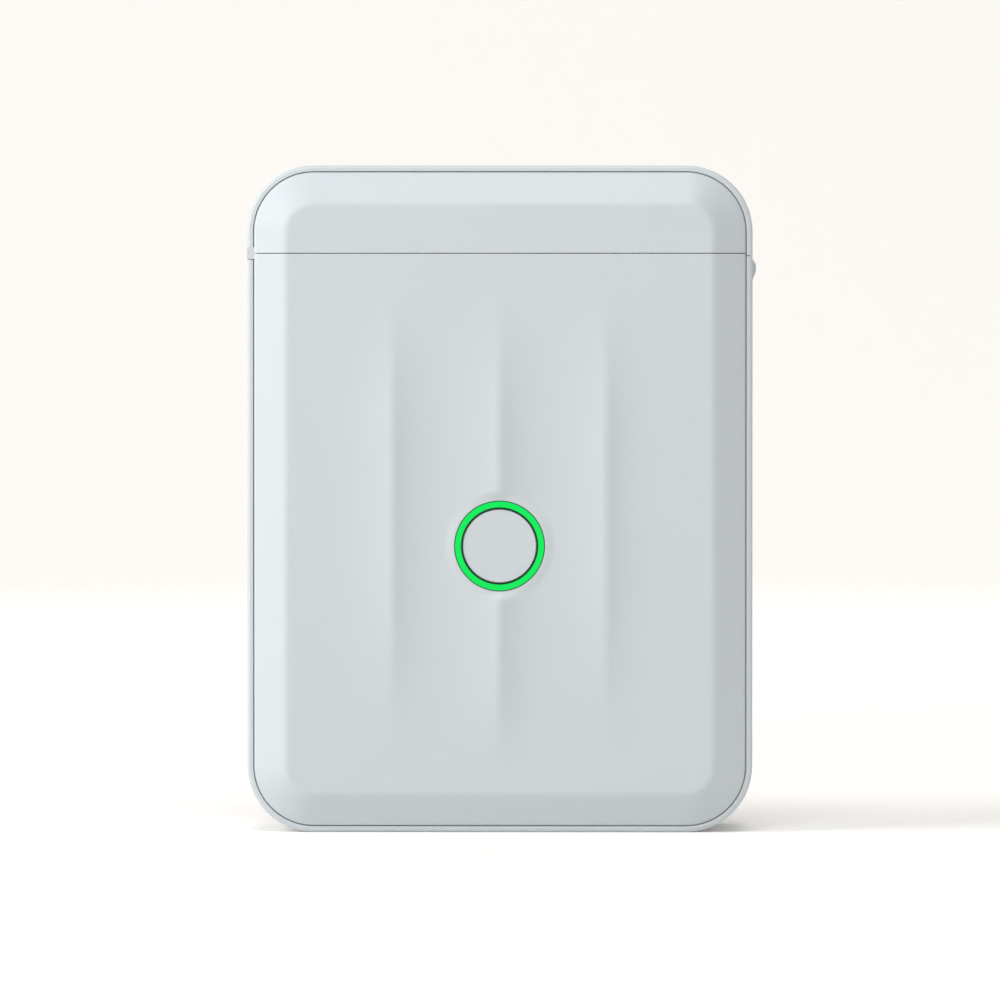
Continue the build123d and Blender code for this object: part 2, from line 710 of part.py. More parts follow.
def gear_axles():
    """Steel pins with a retaining head, pressed into the frame."""
    pins = []
    for x, z, nose in ((STEP_X, STEP_Z, GEAR_LAYER_B), (IDLER_X, IDLER_Z, GEAR_LAYER_A - 0.4)):
        pin = rod_y(AXLE, x, z, nose - 0.1, FRAME_BACK)
        pins.append(pin + rod_y(AXLE + 0.5, x, z, nose - 0.5, nose - 0.1))
    return pins


def platen_gear():
    piece = gear(PLATEN_TEETH, PLATEN_X, PLATEN_Z, GEAR_LAYER_A, GEAR_THICK, PLATEN_PHASE)
    return piece - rod_y(PLATEN_SHAFT, PLATEN_X, PLATEN_Z, FRONT, BACK)


def platen_shaft():
    return rod_y(PLATEN_SHAFT, PLATEN_X, PLATEN_Z, GEAR_LAYER_A - 0.3, INNER_BACK - 0.3)


def platen_roller():
    y1 = ROLLER_FRONT + ROLLER_LENGTH
    return tube_y(PLATEN_RADIUS, PLATEN_SHAFT, PLATEN_X, PLATEN_Z, ROLLER_FRONT, y1)


def cheek_places():
    """Depth spans of the two cheeks that carry the platen."""
    front = ROLLER_FRONT - CHEEK_GAP - CHEEK
    rear = ROLLER_FRONT + ROLLER_LENGTH + CHEEK_GAP
    return (front, front + CHEEK), (rear, rear + CHEEK * 0.8)


def platen_bushes():
    """Flanged plain bushes in the two cheeks."""
    bushes = []
    for y0, y1 in cheek_places():
        outer = rod_y(BUSH_RADIUS, PLATEN_X, PLATEN_Z, y0 - 0.1, y1)
        flange = rod_y(BUSH_FLANGE, PLATEN_X, PLATEN_Z, y1, y1 + 0.15)
        bore = rod_y(PLATEN_SHAFT + PIN_FIT, PLATEN_X, PLATEN_Z, FRONT, BACK)
        bushes.append(outer + flange - bore)
    return bushes


def platen_carrier():
    """Bracket in the lid with two cheeks, open towards the print head."""
    (front0, front1), (rear0, rear1) = cheek_places()
    top = HEIGHT - WALL
    left, right = PLATEN_X - CARRIER_LEFT, PLATEN_X + CARRIER_RIGHT
    plate = block(left, right, front0, rear1, top - CARRIER_PLATE, top)
    for y0, y1 in ((front0, front1), (rear0, rear1)):
        outline = [
            (left, top),
            (right, top),
            (PLATEN_X + CARRIER_SWELL, PLATEN_Z + CARRIER_RISE),
            (PLATEN_X + CARRIER_WAIST, PLATEN_Z - CARRIER_DROP),
            (PLATEN_X - CARRIER_WAIST, PLATEN_Z - CARRIER_DROP),
        ]
        plate += slab(front_plane(y1), outline, y1 - y0)
    plate -= rod_y(BUSH_RADIUS, PLATEN_X, PLATEN_Z, FRONT, BACK)
    return plate


def tear_edge():
    """Serrated steel strip along the slot."""
    x0 = NIP_X + SLOT_WIDTH / 2 - BLADE_THICK
    y0 = BAY_MIDDLE - SLOT_LENGTH / 2
    count = int(SLOT_LENGTH / TOOTH_PITCH)
    low = BLADE_TOP - BLADE_HEIGHT
    points = [(y0, low), (y0, BLADE_TOP - TOOTH_HEIGHT)]
    for tooth in range(count):
        left = y0 + tooth * TOOTH_PITCH
        points.append((left + TOOTH_PITCH / 2, BLADE_TOP))
        points.append((left + TOOTH_PITCH, BLADE_TOP - TOOTH_HEIGHT))
    points.append((y0 + SLOT_LENGTH, BLADE_TOP - TOOTH_HEIGHT))
    points.append((y0 + SLOT_LENGTH, low))
    if count * TOOTH_PITCH >= SLOT_LENGTH - 1e-6:
        points.pop(-2)
    side = Plane(origin=(x0, 0, 0), x_dir=(0, 1, 0), z_dir=(1, 0, 0))
    return slab(side, points, BLADE_THICK)


def heat_sink():
    """Aluminium back plate of the print head, with pivot boss and cooling grooves."""
    y0, y1 = ROLLER_FRONT, ROLLER_FRONT + ROLLER_LENGTH
    plate = block(SINK_X, SINK_X + SINK_THICK, y0, y1, PIVOT_Z, SINK_TOP)
    plate += rod_y(PIVOT_BOSS, PIVOT_X, PIVOT_Z, y0, y1)
    groove_x = SINK_X + SINK_THICK
    for z in range(5):
        low = PIVOT_Z + 4 + z * 1.4
        plate -= block(groove_x - 0.7, groove_x + 1, y0 - 1, y1 + 1, low, low + 0.7)
    return plate - rod_y(PIVOT_PIN + PIN_FIT, PIVOT_X, PIVOT_Z, FRONT, BACK)


def print_head():
    """Ceramic strip with a raised heater line."""
    y0, y1 = ROLLER_FRONT, ROLLER_FRONT + ROLLER_LENGTH
    x0 = NIP_X + NIP_GAP
    strip = block(x0 + 0.1, SINK_X, y0, y1, CERAMIC_LOW, CERAMIC_LOW + CERAMIC_HEIGHT)
    return strip + block(x0, x0 + 0.2, y0, y1, PLATEN_Z - 0.5, PLATEN_Z + 0.5)


def head_pivot():
    return rod_y(PIVOT_PIN, PIVOT_X, PIVOT_Z, FRAME_FRONT + 0.4, INNER_BACK)


def helix_point(radius, pitch, turn):
    angle = 2 * math.pi * turn
    return Vector(radius * math.cos(angle), radius * math.sin(angle), pitch * turn)


def helix_tangent(radius, pitch, turn):
    angle = 2 * math.pi * turn
    along = Vector(-radius * math.sin(angle), radius * math.cos(angle), pitch / (2 * math.pi))
    return along.normalized()


def coil(radius, wire, length, turns):
    """Compression spring along Z: one tube on pairs of tangent arcs, a quarter turn each pair."""
    pitch = (length - 2 * wire) / turns
    edges = []
    for quarter in range(int(turns * 4)):
        start, end = quarter / 4, (quarter + 1) / 4
        p0, p1 = helix_point(radius, pitch, start), helix_point(radius, pitch, end)
        t0, t1 = helix_tangent(radius, pitch, start), helix_tangent(radius, pitch, end)
        chord, both = p1 - p0, t0 + t1
        a = 2 * (1 - t0.dot(t1))
        b = 2 * chord.dot(both)
        reach = (-b + math.sqrt(b * b + 4 * a * chord.dot(chord))) / (2 * a)
        middle = (p0 + p1 + (t0 - t1) * reach) / 2
        first = Edge.make_tangent_arc(p0, t0, middle)
        edges += [first, Edge.make_tangent_arc(middle, first % 1, p1)]
    path = Wire(edges)
    section = Plane(origin=path @ 0, z_dir=path % 0) * RegularPolygon(wire, 6)
    return Pos(0, 0, wire) * sweep(section, path=path)


def spring_x(radius, x0, x1, y, z):
    """Coil along X between two faces."""
    slack = 0.04
    turned = Pos(x0 + slack / 2, y, z) * Rot(0, 90, 0)
    return turned * coil(radius, SPRING_WIRE, x1 - x0 - slack, COIL_TURNS)


def head_spring(y):
    return spring_x(HEAD_COIL, SINK_X + SINK_THICK, SPRING_WALL_X, y, HEAD_SPRING_Z)


def release_spring():
    flange_x = WALL_RIGHT - 0.15 - FLANGE_THICK
    return spring_x(RELEASE_COIL, SPRING_WALL_X + SPRING_WALL, flange_x, RELEASE_Y, RELEASE_SPRING_Z)


def release_button():
    """Push button with a swelling cap, a flange behind the wall and the latch arm."""
    y0, y1 = RELEASE_Y - RELEASE_LENGTH / 2, RELEASE_Y + RELEASE_LENGTH / 2
    edge = WIDTH / 2
    side = Plane(origin=(0, y1, 0), x_dir=(1, 0, 0), z_dir=(0, -1, 0))
    flange_out = WALL_RIGHT - 0.15
    cap = [
        (flange_out - 0.3, RELEASE_LOW),
        (edge - 0.1, RELEASE_LOW),
        (edge + RELEASE_PROUD, RELEASE_LOW + 2.0),
        (edge + RELEASE_PROUD, RELEASE_LOW + 3.0),
        (edge, RELEASE_HIGH),
        (flange_out - 0.3, RELEASE_HIGH),
    ]
    piece = slab(side, cap, RELEASE_LENGTH)
    crest = piece.edges().filter_by(Axis.Y).sort_by(Axis.X)[-2:]
    piece = fillet(crest, 0.45)
    flange_in = flange_out - FLANGE_THICK
    piece += block(flange_in, flange_out, y0 - FLANGE, y1 + FLANGE, RELEASE_LOW - FLANGE, RELEASE_HIGH)
    a0 = RELEASE_Y - ARM_LENGTH / 2
    nose_low = CATCH_HIGH + LATCH_PLAY
    arm_out = WALL_RIGHT - ARM_ROOM
    top = nose_low + NOSE_HEIGHT
    piece += block(arm_out - ARM_THICK, arm_out, a0, a0 + ARM_LENGTH, RELEASE_HIGH - 1, top)
    nose = [(arm_out - 0.2, nose_low), (arm_out + 0.3 + NOSE_LAP, nose_low), (arm_out - 0.2, top)]
    nose_plane = Plane(origin=(0, a0 + ARM_LENGTH, 0), x_dir=(1, 0, 0), z_dir=(0, -1, 0))
    return piece + slab(nose_plane, nose, ARM_LENGTH)


def drive_motor():
    """Stepper motor: can, front collar and two screw ears."""
    y0 = FRAME_BACK + 0.02
    can = rod_y(MOTOR_RADIUS, MOTOR_X, MOTOR_Z, y0, y0 + MOTOR_LENGTH)
    can = chamfer(can.edges().sort_by(Axis.Y)[-1], 0.8)
    can += rod_y(2.1, MOTOR_X, MOTOR_Z, y0 - 0.9, y0 + 0.5)
    return can - rod_y(0.75 + AXLE_FIT, MOTOR_X, MOTOR_Z, FRONT, FRAME_BACK + 4.5)


def motor_screws():
    """Two small screws through the frame into the motor's face."""
    screws = []
    for side in (-1, 1):
        x = MOTOR_X + side * MOTOR_EAR * math.cos(math.radians(MOTOR_EAR_ANGLE))
        z = MOTOR_Z + side * MOTOR_EAR * math.sin(math.radians(MOTOR_EAR_ANGLE))
        shank = rod_y(MOTOR_SCREW, x, z, FRAME_FRONT, FRAME_BACK)
        screws.append(shank + rod_y(1.1, x, z, FRAME_FRONT - 0.7, FRAME_FRONT))
    return screws


def main_board():
    y0, y1 = BOARD_FRONT, BOARD_FRONT + BOARD_THICK
    board = block(BOARD_LEFT, BOARD_RIGHT, y0, y1, BOARD_LOW, BOARD_HIGH)
    board = fillet(board.edges().filter_by(Axis.Y), 1.0)
    for x, z in board_posts():
        board -= rod_y(0.7, x, z, y0 - 1, y1 + 1)
    return board


def board_screws():
    screws = []
    for x, z in board_posts():
        shank = rod_y(0.6, x, z, BOARD_FRONT, FRAME_FRONT - 0.1)
        screws.append(shank + rod_y(1.2, x, z, BOARD_FRONT - 0.6, BOARD_FRONT))
    return screws


def board_chips():
    """Controller, radio module, driver and battery charger."""
    middle = (BOARD_LOW + BOARD_HIGH) / 2
    parts = [
        (6.2, BOARD_HIGH - 18.0, 7.0, 7.0, 0.9),
        (11.2, BOARD_HIGH - 8.5, 12.0, 8.0, 1.6),
        (6.2, middle - 4.75, 4.0, 5.0, 1.1),
        (24.2, BOARD_HIGH - 12.0, 5.0, 4.0, 1.0),
        (8.2, BOARD_LOW + 6.5, 4.0, 4.0, 0.8),
        (22.2, BOARD_LOW + 2.3, 8.0, 3.0, 2.4),
    ]
    chips = []
    for across, z, wide, high, thick in parts:
        x = BOARD_LEFT + across
        y0 = BOARD_FRONT - thick
        chips.append(block(x - wide / 2, x + wide / 2, y0, BOARD_FRONT, z - high / 2, z + high / 2))
    return chips


def power_switch():
    """Body of the push switch behind the power button."""
    half = SWITCH_SIZE / 2
    y0 = BOARD_FRONT - SWITCH_THICK
    body = block(-half, half, y0, BOARD_FRONT, BUTTON_HEIGHT - half, BUTTON_HEIGHT + half)
    body = fillet(body.edges().filter_by(Axis.Y), 0.5)
    return body - rod_y(BUTTON_STEM + 0.2, 0, BUTTON_HEIGHT, y0 - 1, BOARD_FRONT - 0.1)


def plunger_front():
    """Depth where the button's stem meets the switch plunger."""
    return BOARD_FRONT - SWITCH_THICK - 0.6


def switch_plunger():
    back = BOARD_FRONT - 0.1 - BUTTON_TRAVEL - 0.1
    return rod_y(BUTTON_STEM + 0.1, 0, BUTTON_HEIGHT, plunger_front(), back)


def ring_back():
    return FRONT + RING_DEPTH


def light_ring():
    """Clear ring with a thin skirt that carries the light from the board."""
    ring = tube_y(RING_OUTER, RING_INNER, 0, BUTTON_HEIGHT, RING_FRONT, ring_back())
    skirt_end = BOARD_FRONT - LED_THICK - 0.1
    inner = RING_OUTER - RING_SKIRT
    return ring + tube_y(RING_OUTER, inner, 0, BUTTON_HEIGHT, ring_back() - 0.1, skirt_end)


def ring_lights():
    """Four light diodes on the board under the ring's skirt."""
    lights = []
    for quarter in range(4):
        x, z = step_from(0, BUTTON_HEIGHT, RING_OUTER - 0.2, 45 + 90 * quarter)
        lights.append(block(x - 0.8, x + 0.8, BOARD_FRONT - LED_THICK, BOARD_FRONT, z - 0.8, z + 0.8))
    return lights


def power_button():
    """Round cap with a flange behind the ring and a stem to the switch."""
    front = RING_FRONT + 0.12
    cap = rod_y(RING_INNER - BUTTON_GAP, 0, BUTTON_HEIGHT, front, ring_back() + 0.3)
    cap = chamfer(cap.edges().sort_by(Axis.Y)[0], 0.12)
    flange_y = ring_back() + 0.05
    flange = RING_OUTER - RING_SKIRT - 0.15
    cap += rod_y(flange, 0, BUTTON_HEIGHT, flange_y, flange_y + 0.6)
    return cap + rod_y(BUTTON_STEM, 0, BUTTON_HEIGHT, flange_y, plunger_front())


def battery():
    y1 = BATTERY_FRONT + BATTERY_THICK
    cell = block(BATTERY_LEFT, BATTERY_RIGHT, BATTERY_FRONT, y1, BATTERY_LOW, BATTERY_HIGH)
    return fillet(cell.edges().filter_by(Axis.X), BATTERY_EDGE)


def battery_pad():
    """Foam strip that holds the battery to the frame."""
    y0 = BATTERY_FRONT + BATTERY_THICK
    x0, x1 = BATTERY_LEFT + FOAM_MARGIN, BATTERY_RIGHT - FOAM_MARGIN
    return block(x0, x1, y0, FRAME_FRONT, BATTERY_LOW + FOAM_MARGIN, BATTERY_HIGH - FOAM_MARGIN)


def usb_port():
    """Metal socket shell, open at the base."""
    plane = Plane(origin=(PORT_X, PORT_Y, 0.3))
    outer = fillet(Rectangle(PORT_WIDTH, PORT_THICK).vertices(), PORT_THICK / 2 - 0.01)
    inner_wide, inner_thick = PORT_WIDTH - 2 * PORT_WALL, PORT_THICK - 2 * PORT_WALL
    inner = fillet(Rectangle(inner_wide, inner_thick).vertices(), inner_thick / 2 - 0.01)
    shell = extrude(plane * outer, PORT_DEPTH)
    shell -= extrude(plane * inner, PORT_DEPTH - 1.0)
    tongue = block(PORT_X - 3.3, PORT_X + 3.3, PORT_Y - 0.35, PORT_Y + 0.35, 1.1, PORT_DEPTH - 0.5)
    return shell + tongue


def port_board():
    """Small board that carries the socket."""
    y1 = PORT_Y - PORT_THICK / 2
    low = RIM + PANEL_GAP + PANEL_WALL + 0.3
    x0, x1 = PORT_X - PORT_BOARD_LEFT, PORT_X + PORT_BOARD_RIGHT
    board = block(x0, x1, y1 - PORT_BOARD_THICK, y1, low, PORT_BOARD_TOP)
    return fillet(board.edges().filter_by(Axis.Y), 0.8)


def label_sensor():
    """Small optical sensor that finds the gaps between labels."""
    x1, y1 = BAY_RIGHT + SENSOR_WIDE, FRAME_BACK + SENSOR_THICK
    return block(BAY_RIGHT, x1, FRAME_BACK, y1, SENSOR_HIGH - SENSOR_HEIGHT, SENSOR_HIGH)


def write(name, shape):
    """Write one node; a list of solids becomes one group."""
    if isinstance(shape, list):
        shape = Compound(children=[Compound(s.solids()) for s in shape])
    export_step(shape, f"parts/{name}.step")


os.makedirs("parts", exist_ok=True)
panel = panel_blank()
write("front_shell", front_shell(panel))
write("lid_front", lid_front(panel))
write("rear_shell", rear_shell())
write("lid_rear", lid_rear())
write("hinge_pin", hinge_pin())
write("case_screws", case_screws())
write("lid_screws", lid_screws())
write("label_bay", label_bay())
write("motor_pinion", motor_pinion())
write("step_gear", step_gear())
write("idler_gear", idler_gear())
write("gear_axles", gear_axles())
write("platen_gear", platen_gear())
write("platen_shaft", platen_shaft())
write("platen_roller", platen_roller())
write("platen_bushes", platen_bushes())
write("platen_carrier", platen_carrier())
write("tear_edge", tear_edge())
write("heat_sink", heat_sink())
write("print_head", print_head())
write("head_pivot", head_pivot())
write("front_head_spring", head_spring(ROLLER_FRONT + HEAD_SPRING_FRONT_IN))
write("rear_head_spring", head_spring(ROLLER_FRONT + ROLLER_LENGTH - HEAD_SPRING_BACK_IN))
write("release_spring", release_spring())
write("release_button", release_button())
write("drive_motor", drive_motor())
write("motor_screws", motor_screws())
write("main_board", main_board())
write("board_screws", board_screws())
write("board_chips", board_chips())
write("power_switch", power_switch())
write("switch_plunger", switch_plunger())
write("light_ring", light_ring())
write("ring_lights", ring_lights())
write("power_button", power_button())
write("battery", battery())
write("battery_pad", battery_pad())
write("usb_port", usb_port())
write("port_board", port_board())
write("label_sensor", label_sensor())
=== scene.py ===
"""Pocket label printer: finishes, soft front panel, coil springs, studio and camera."""

import logging
import math
from collections.abc import Iterator
from contextlib import contextmanager
from dataclasses import dataclass, field
from enum import Enum

import bmesh
import bpy
import numpy as np
from mathutils import Matrix, Vector

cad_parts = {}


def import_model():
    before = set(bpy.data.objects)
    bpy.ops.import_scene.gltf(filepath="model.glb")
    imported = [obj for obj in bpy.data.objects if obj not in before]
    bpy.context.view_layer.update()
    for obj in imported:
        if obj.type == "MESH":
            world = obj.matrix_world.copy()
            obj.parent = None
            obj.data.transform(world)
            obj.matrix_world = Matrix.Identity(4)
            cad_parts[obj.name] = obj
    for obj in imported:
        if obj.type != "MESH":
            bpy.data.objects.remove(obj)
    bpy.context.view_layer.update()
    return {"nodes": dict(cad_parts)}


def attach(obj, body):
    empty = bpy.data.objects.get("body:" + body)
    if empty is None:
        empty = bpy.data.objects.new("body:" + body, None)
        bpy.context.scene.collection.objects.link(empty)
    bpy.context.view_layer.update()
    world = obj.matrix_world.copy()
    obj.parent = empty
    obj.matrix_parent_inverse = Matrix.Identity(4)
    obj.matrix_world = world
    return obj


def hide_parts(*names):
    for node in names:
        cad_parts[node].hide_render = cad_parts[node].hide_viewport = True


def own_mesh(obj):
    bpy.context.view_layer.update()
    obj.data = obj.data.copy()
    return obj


LOG = logging.getLogger("label_printer")
MM = 0.001

# The photograph's frame, and what was measured in it
FRAME_PIXELS = 1000.0
CASE_LEFT, CASE_RIGHT = 247.0, 752.5
CASE_TOP, CASE_BOTTOM = 165.0, 833.0
CASE_WIDTH = 75.0 * MM
CASE_HEIGHT = 99.0 * MM
METRES_PER_PIXEL = CASE_WIDTH / (CASE_RIGHT - CASE_LEFT)

# Heights and depths of the CAD model that several pieces share
BUTTON_HEIGHT = 42.6 * MM
RIM_FRONT = -11.8 * MM

# Kinds of node socket
COLOUR = "NodeSocketColor"
VALUE = "NodeSocketFloat"
VECTOR = "NodeSocketVector"

Colour = tuple[float, float, float]
Profile = np.ndarray
Node = bpy.types.Node
Socket = bpy.types.NodeSocket
Tree = bpy.types.NodeTree


class Grain(Enum):
    """How coarse a moulded surface feels."""

    POLISHED = 0.15
    FINE = 0.5
    COARSE = 1.0


@dataclass(frozen=True)
class Plastic:
    """Moulded plastic: colour with slight drift, fine grain and soft gloss."""

    name: str
    colour: Colour
    roughness: float = 0.5
    grain: Grain = Grain.FINE
    drift: float = 0.012
    grain_size: float = 9000.0
    ior: float = 1.46
    bump: float = 0.02 * MM


@dataclass(frozen=True)
class Metal:
    """Bare metal with brushed or milled marks."""

    name: str
    colour: Colour
    roughness: float = 0.32
    brush: tuple[float, float, float] = (900.0, 9000.0, 9000.0)
    bump: float = 0.01 * MM


@dataclass(frozen=True)
class LightRing:
    """Lit ring: the middle of its face glows; its inner and outer edges carry painted shade,
    the dark of the gaps beside the cap and the panel hole.
    """

    name: str
    colour: Colour
    # edge is painted shade: the dark gaps between the ring and the cap and between the ring
    # and the panel hole
    edge: Colour
    roughness: float = 0.3
    specular: float = 0.2
    glow: float = 0.8
    centre: tuple[float, float, float] = (0.0, 0.0, BUTTON_HEIGHT)
    # Between inner and outer the ring glows; outside them it takes the painted gap shade
    inner: float = 5.7 * MM
    outer: float = 6.62 * MM
    blur: float = 0.06 * MM


Finish = Plastic | Metal | LightRing


def linear(r: float, g: float, b: float) -> Colour:
    """Linear colour of 8-bit screen values.

    Args:
        r: Red from 0 to 255.
        g: Green from 0 to 255.
        b: Blue from 0 to 255.

    Returns:
        The same colour in linear light.
    """
    def one(value: float) -> float:
        share = value / 255.0
        return share / 12.92 if share <= 0.04045 else ((share + 0.055) / 1.055) ** 2.4

    return one(r), one(g), one(b)


def smooth_step(distance: np.ndarray, length: float) -> np.ndarray:
    """Smooth rise from 0 to 1 over a length: 3 t squared less 2 t cubed.

    Args:
        distance: How far past the start of the rise each point is.
        length: Length of the rise.

    Returns:
        The rise at each point.
    """
    share = np.clip(distance / length, 0.0, 1.0)
    return share * share * (3.0 - 2.0 * share)


def wrapped_quads(rows: int, count: int) -> list[list[int]]:
    """Faces between neighbouring rows of points, where each row closes on itself.

    Args:
        rows: Number of rows.
        count: Points in a row.

    Returns:
        Four point numbers for each face.
    """
    row = np.arange(rows - 1)[:, None] * count
    here = row + np.arange(count)[None, :]
    after = row + (np.arange(count)[None, :] + 1) % count
    quads = np.stack([here, after, after + count, here + count], axis=-1)
    return quads.reshape(-1, 4).tolist()


def add_object(name: str, data: bpy.types.ID) -> bpy.types.Object:
    """Make an object and link it to the scene.

    Args:
        name: Name of the object.
        data: Its mesh, lamp or camera.

    Returns:
        The object.
    """
    made = bpy.data.objects.new(name, data)
    bpy.context.scene.collection.objects.link(made)
    return made


@contextmanager
def editing(mesh: bpy.types.Mesh) -> Iterator[bmesh.types.BMesh]:
    """Open a mesh for editing, and write it back with its normals facing out.

    Args:
        mesh: The mesh to edit.

    Yields:
        The editable mesh.
    """
    work = bmesh.new()
    work.from_mesh(mesh)
    yield work
    bmesh.ops.recalc_face_normals(work, faces=work.faces)
    work.to_mesh(mesh)
    work.free()


def solid_mesh(
    name: str, points: np.ndarray, faces: list[list[int]], weld: float = 0.0
) -> bpy.types.Mesh:
    """Closed mesh with its normals facing out.

    Args:
        name: Name of the mesh.
        points: One row of three coordinates a point, in metres.
        faces: Point numbers of each face.
        weld: Points closer than this become one. At 0 all stay.

    Returns:
        The mesh.
    """
    mesh = bpy.data.meshes.new(name)
    mesh.from_pydata(points.tolist(), [], faces)
    with editing(mesh) as work:
        if weld:
            bmesh.ops.remove_doubles(work, verts=work.verts, dist=weld)
    return mesh


def bake(piece: bpy.types.Object) -> None:
    """Apply a piece's modifiers to its mesh.

    Args:
        piece: The object with live modifiers.
    """
    graph = bpy.context.evaluated_depsgraph_get()
    mesh = bpy.data.meshes.new_from_object(piece.evaluated_get(graph))
    piece.modifiers.clear()
    piece.data = mesh


def shade(piece: bpy.types.Object, degrees: float = 30.0) -> None:
    """Smooth shading with sharp edges past an angle.

    Args:
        piece: The object.
        degrees: Angle past which an edge stays sharp.
    """
    mesh = piece.data
    mesh.polygons.foreach_set("use_smooth", np.ones(len(mesh.polygons), dtype=bool))
    mesh.set_sharp_from_angle(angle=math.radians(degrees))


def math_node(tree: Tree, work: str, first: Socket | float, second: Socket | float) -> Socket:
    """Place a Math node and return its result.

    Args:
        tree: Tree that gets the node.
        work: Operation name.
        first: Left value or socket.
        second: Right value or socket.

    Returns:
        The result socket.
    """
    node = tree.nodes.new("ShaderNodeMath")
    node.operation = work
    for index, value in enumerate((first, second)):
        if isinstance(value, (int, float)):
            node.inputs[index].default_value = float(value)
        else:
            tree.links.new(value, node.inputs[index])
    return node.outputs[0]


def object_place(tree: Tree) -> Socket:
    """Place a Texture Coordinate node.

    Args:
        tree: Tree that gets the node.

    Returns:
        The socket with the place on the object.
    """
    return tree.nodes.new("ShaderNodeTexCoord").outputs["Object"]


class ShaderKit:
    """Node groups that several finishes share, and small helpers to place them."""

    FINE_DETAIL = 3.0
    WIDE_SCALE = 45.0
    WIDE_DETAIL = 2.0
    PLASTIC_ROUGH_SWING = 0.12
    BRUSH_DETAIL = 4.0
    BRUSH_TINT_SWING = 0.16
    BRUSH_ROUGH_SWING = 0.3
    BUMP_STRENGTH = 0.35

    def __init__(self) -> None:
        """Build the groups once."""
        self.moulding = self._moulding_group()
        self.brushing = self._brushing_group()
        self.band = self._band_group()

    @staticmethod
    def _group(
        name: str, inputs: dict[str, tuple[str, float | None]], outputs: dict[str, str]
    ) -> tuple[Tree, Node, Node]:
        """Start a node group with its sockets.

        Args:
            name: Name of the group.
            inputs: Kind and default of each input. None leaves the kind's own default.
            outputs: Kind of each output.

        Returns:
            The group, its input node and its output node.
        """
        tree = bpy.data.node_groups.new(name, "ShaderNodeTree")
        for label, (kind, value) in inputs.items():
            made = tree.interface.new_socket(name=label, in_out="INPUT", socket_type=kind)
            if value is not None:
                made.default_value = value
        for label, kind in outputs.items():
            tree.interface.new_socket(name=label, in_out="OUTPUT", socket_type=kind)
        return tree, tree.nodes.new("NodeGroupInput"), tree.nodes.new("NodeGroupOutput")

    @staticmethod
    def _noise(tree: Tree, place: Socket, scale: Socket | float, detail: float) -> Socket:
        """Place a noise.

        Args:
            tree: Tree that gets the node.
            place: Where the noise is read.
            scale: Scale of the noise, or the socket that gives it.
            detail: Octaves.

        Returns:
            The noise from 0 to 1.
        """
        noise = tree.nodes.new("ShaderNodeTexNoise")
        noise.inputs["Detail"].default_value = detail
        if isinstance(scale, float):
            noise.inputs["Scale"].default_value = scale
        else:
            tree.links.new(scale, noise.inputs["Scale"])
        tree.links.new(place, noise.inputs["Vector"])
        return noise.outputs["Fac"]

    @staticmethod
    def _vector(tree: Tree, work: str, values: dict[int | str, Socket]) -> Node:
        """Place a Vector Math node.

        Args:
            tree: Tree that gets the node.
            work: Operation name.
            values: Sockets that feed its inputs, by the inputs' numbers or names.

        Returns:
            The node.
        """
        node = tree.nodes.new("ShaderNodeVectorMath")
        node.operation = work
        for name, value in values.items():
            tree.links.new(value, node.inputs[name])
        return node

    def _swing(
        self, tree: Tree, colour: Socket, centred: Socket, swing: Socket | float
    ) -> Socket:
        """Turn a noise about 0 into a factor about 1, and scale a colour with it.

        Args:
            tree: Tree that gets the nodes.
            colour: The colour to scale.
            centred: Noise about 0.
            swing: How far the factor swings.

        Returns:
            The scaled colour.
        """
        factor = math_node(tree, "ADD", math_node(tree, "MULTIPLY", centred, swing), 1.0)
        tint = self._vector(tree, "SCALE", {0: colour, "Scale": factor})
        return tint.outputs["Vector"]

    def _moulding_group(self) -> Tree:
        """Grain of moulded plastic.

        Fine noise gives the bump, and a slow, wide noise drifts the colour and
        the roughness a little, as moulded parts do.

        Returns:
            The node group.
        """
        tree, source, target = self._group(
            "moulded_grain",
            {
                "Colour": (COLOUR, None), "Drift": (VALUE, 0.01), "Roughness": (VALUE, 0.5),
                "Grain Size": (VALUE, 9000.0), "Grain Depth": (VALUE, 0.5),
            },
            {"Colour": COLOUR, "Roughness": VALUE, "Height": VALUE},
        )
        place = object_place(tree)
        fine = self._noise(tree, place, source.outputs["Grain Size"], self.FINE_DETAIL)
        wide = self._noise(tree, place, self.WIDE_SCALE, self.WIDE_DETAIL)
        centred = math_node(tree, "SUBTRACT", wide, 0.5)
        rough = math_node(tree, "MULTIPLY", centred, self.PLASTIC_ROUGH_SWING)
        colour, drift = source.outputs["Colour"], source.outputs["Drift"]
        results = {
            "Colour": self._swing(tree, colour, centred, drift),
            "Roughness": math_node(tree, "ADD", rough, source.outputs["Roughness"]),
            "Height": math_node(tree, "MULTIPLY", fine, source.outputs["Grain Depth"]),
        }
        for name, result in results.items():
            tree.links.new(result, target.inputs[name])
        return tree

    def _brushing_group(self) -> Tree:
        """Brushed metal: noise drawn out along one axis.

        Returns:
            The node group.
        """
        tree, source, target = self._group(
            "brushed_metal",
            {"Colour": (COLOUR, None), "Roughness": (VALUE, 0.3), "Stretch": (VECTOR, None)},
            {"Colour": COLOUR, "Roughness": VALUE, "Height": VALUE},
        )
        drawn = self._vector(
            tree, "MULTIPLY", {0: object_place(tree), 1: source.outputs["Stretch"]}
        )
        marks = self._noise(tree, drawn.outputs["Vector"], 1.0, self.BRUSH_DETAIL)
        centred = math_node(tree, "SUBTRACT", marks, 0.5)
        rough = math_node(tree, "MULTIPLY", centred, self.BRUSH_ROUGH_SWING)
        results = {
            "Colour": self._swing(
                tree, source.outputs["Colour"], centred, self.BRUSH_TINT_SWING
            ),
            "Roughness": math_node(tree, "ADD", rough, source.outputs["Roughness"]),
            "Height": marks,
        }
        for name, result in results.items():
            tree.links.new(result, target.inputs[name])
        return tree

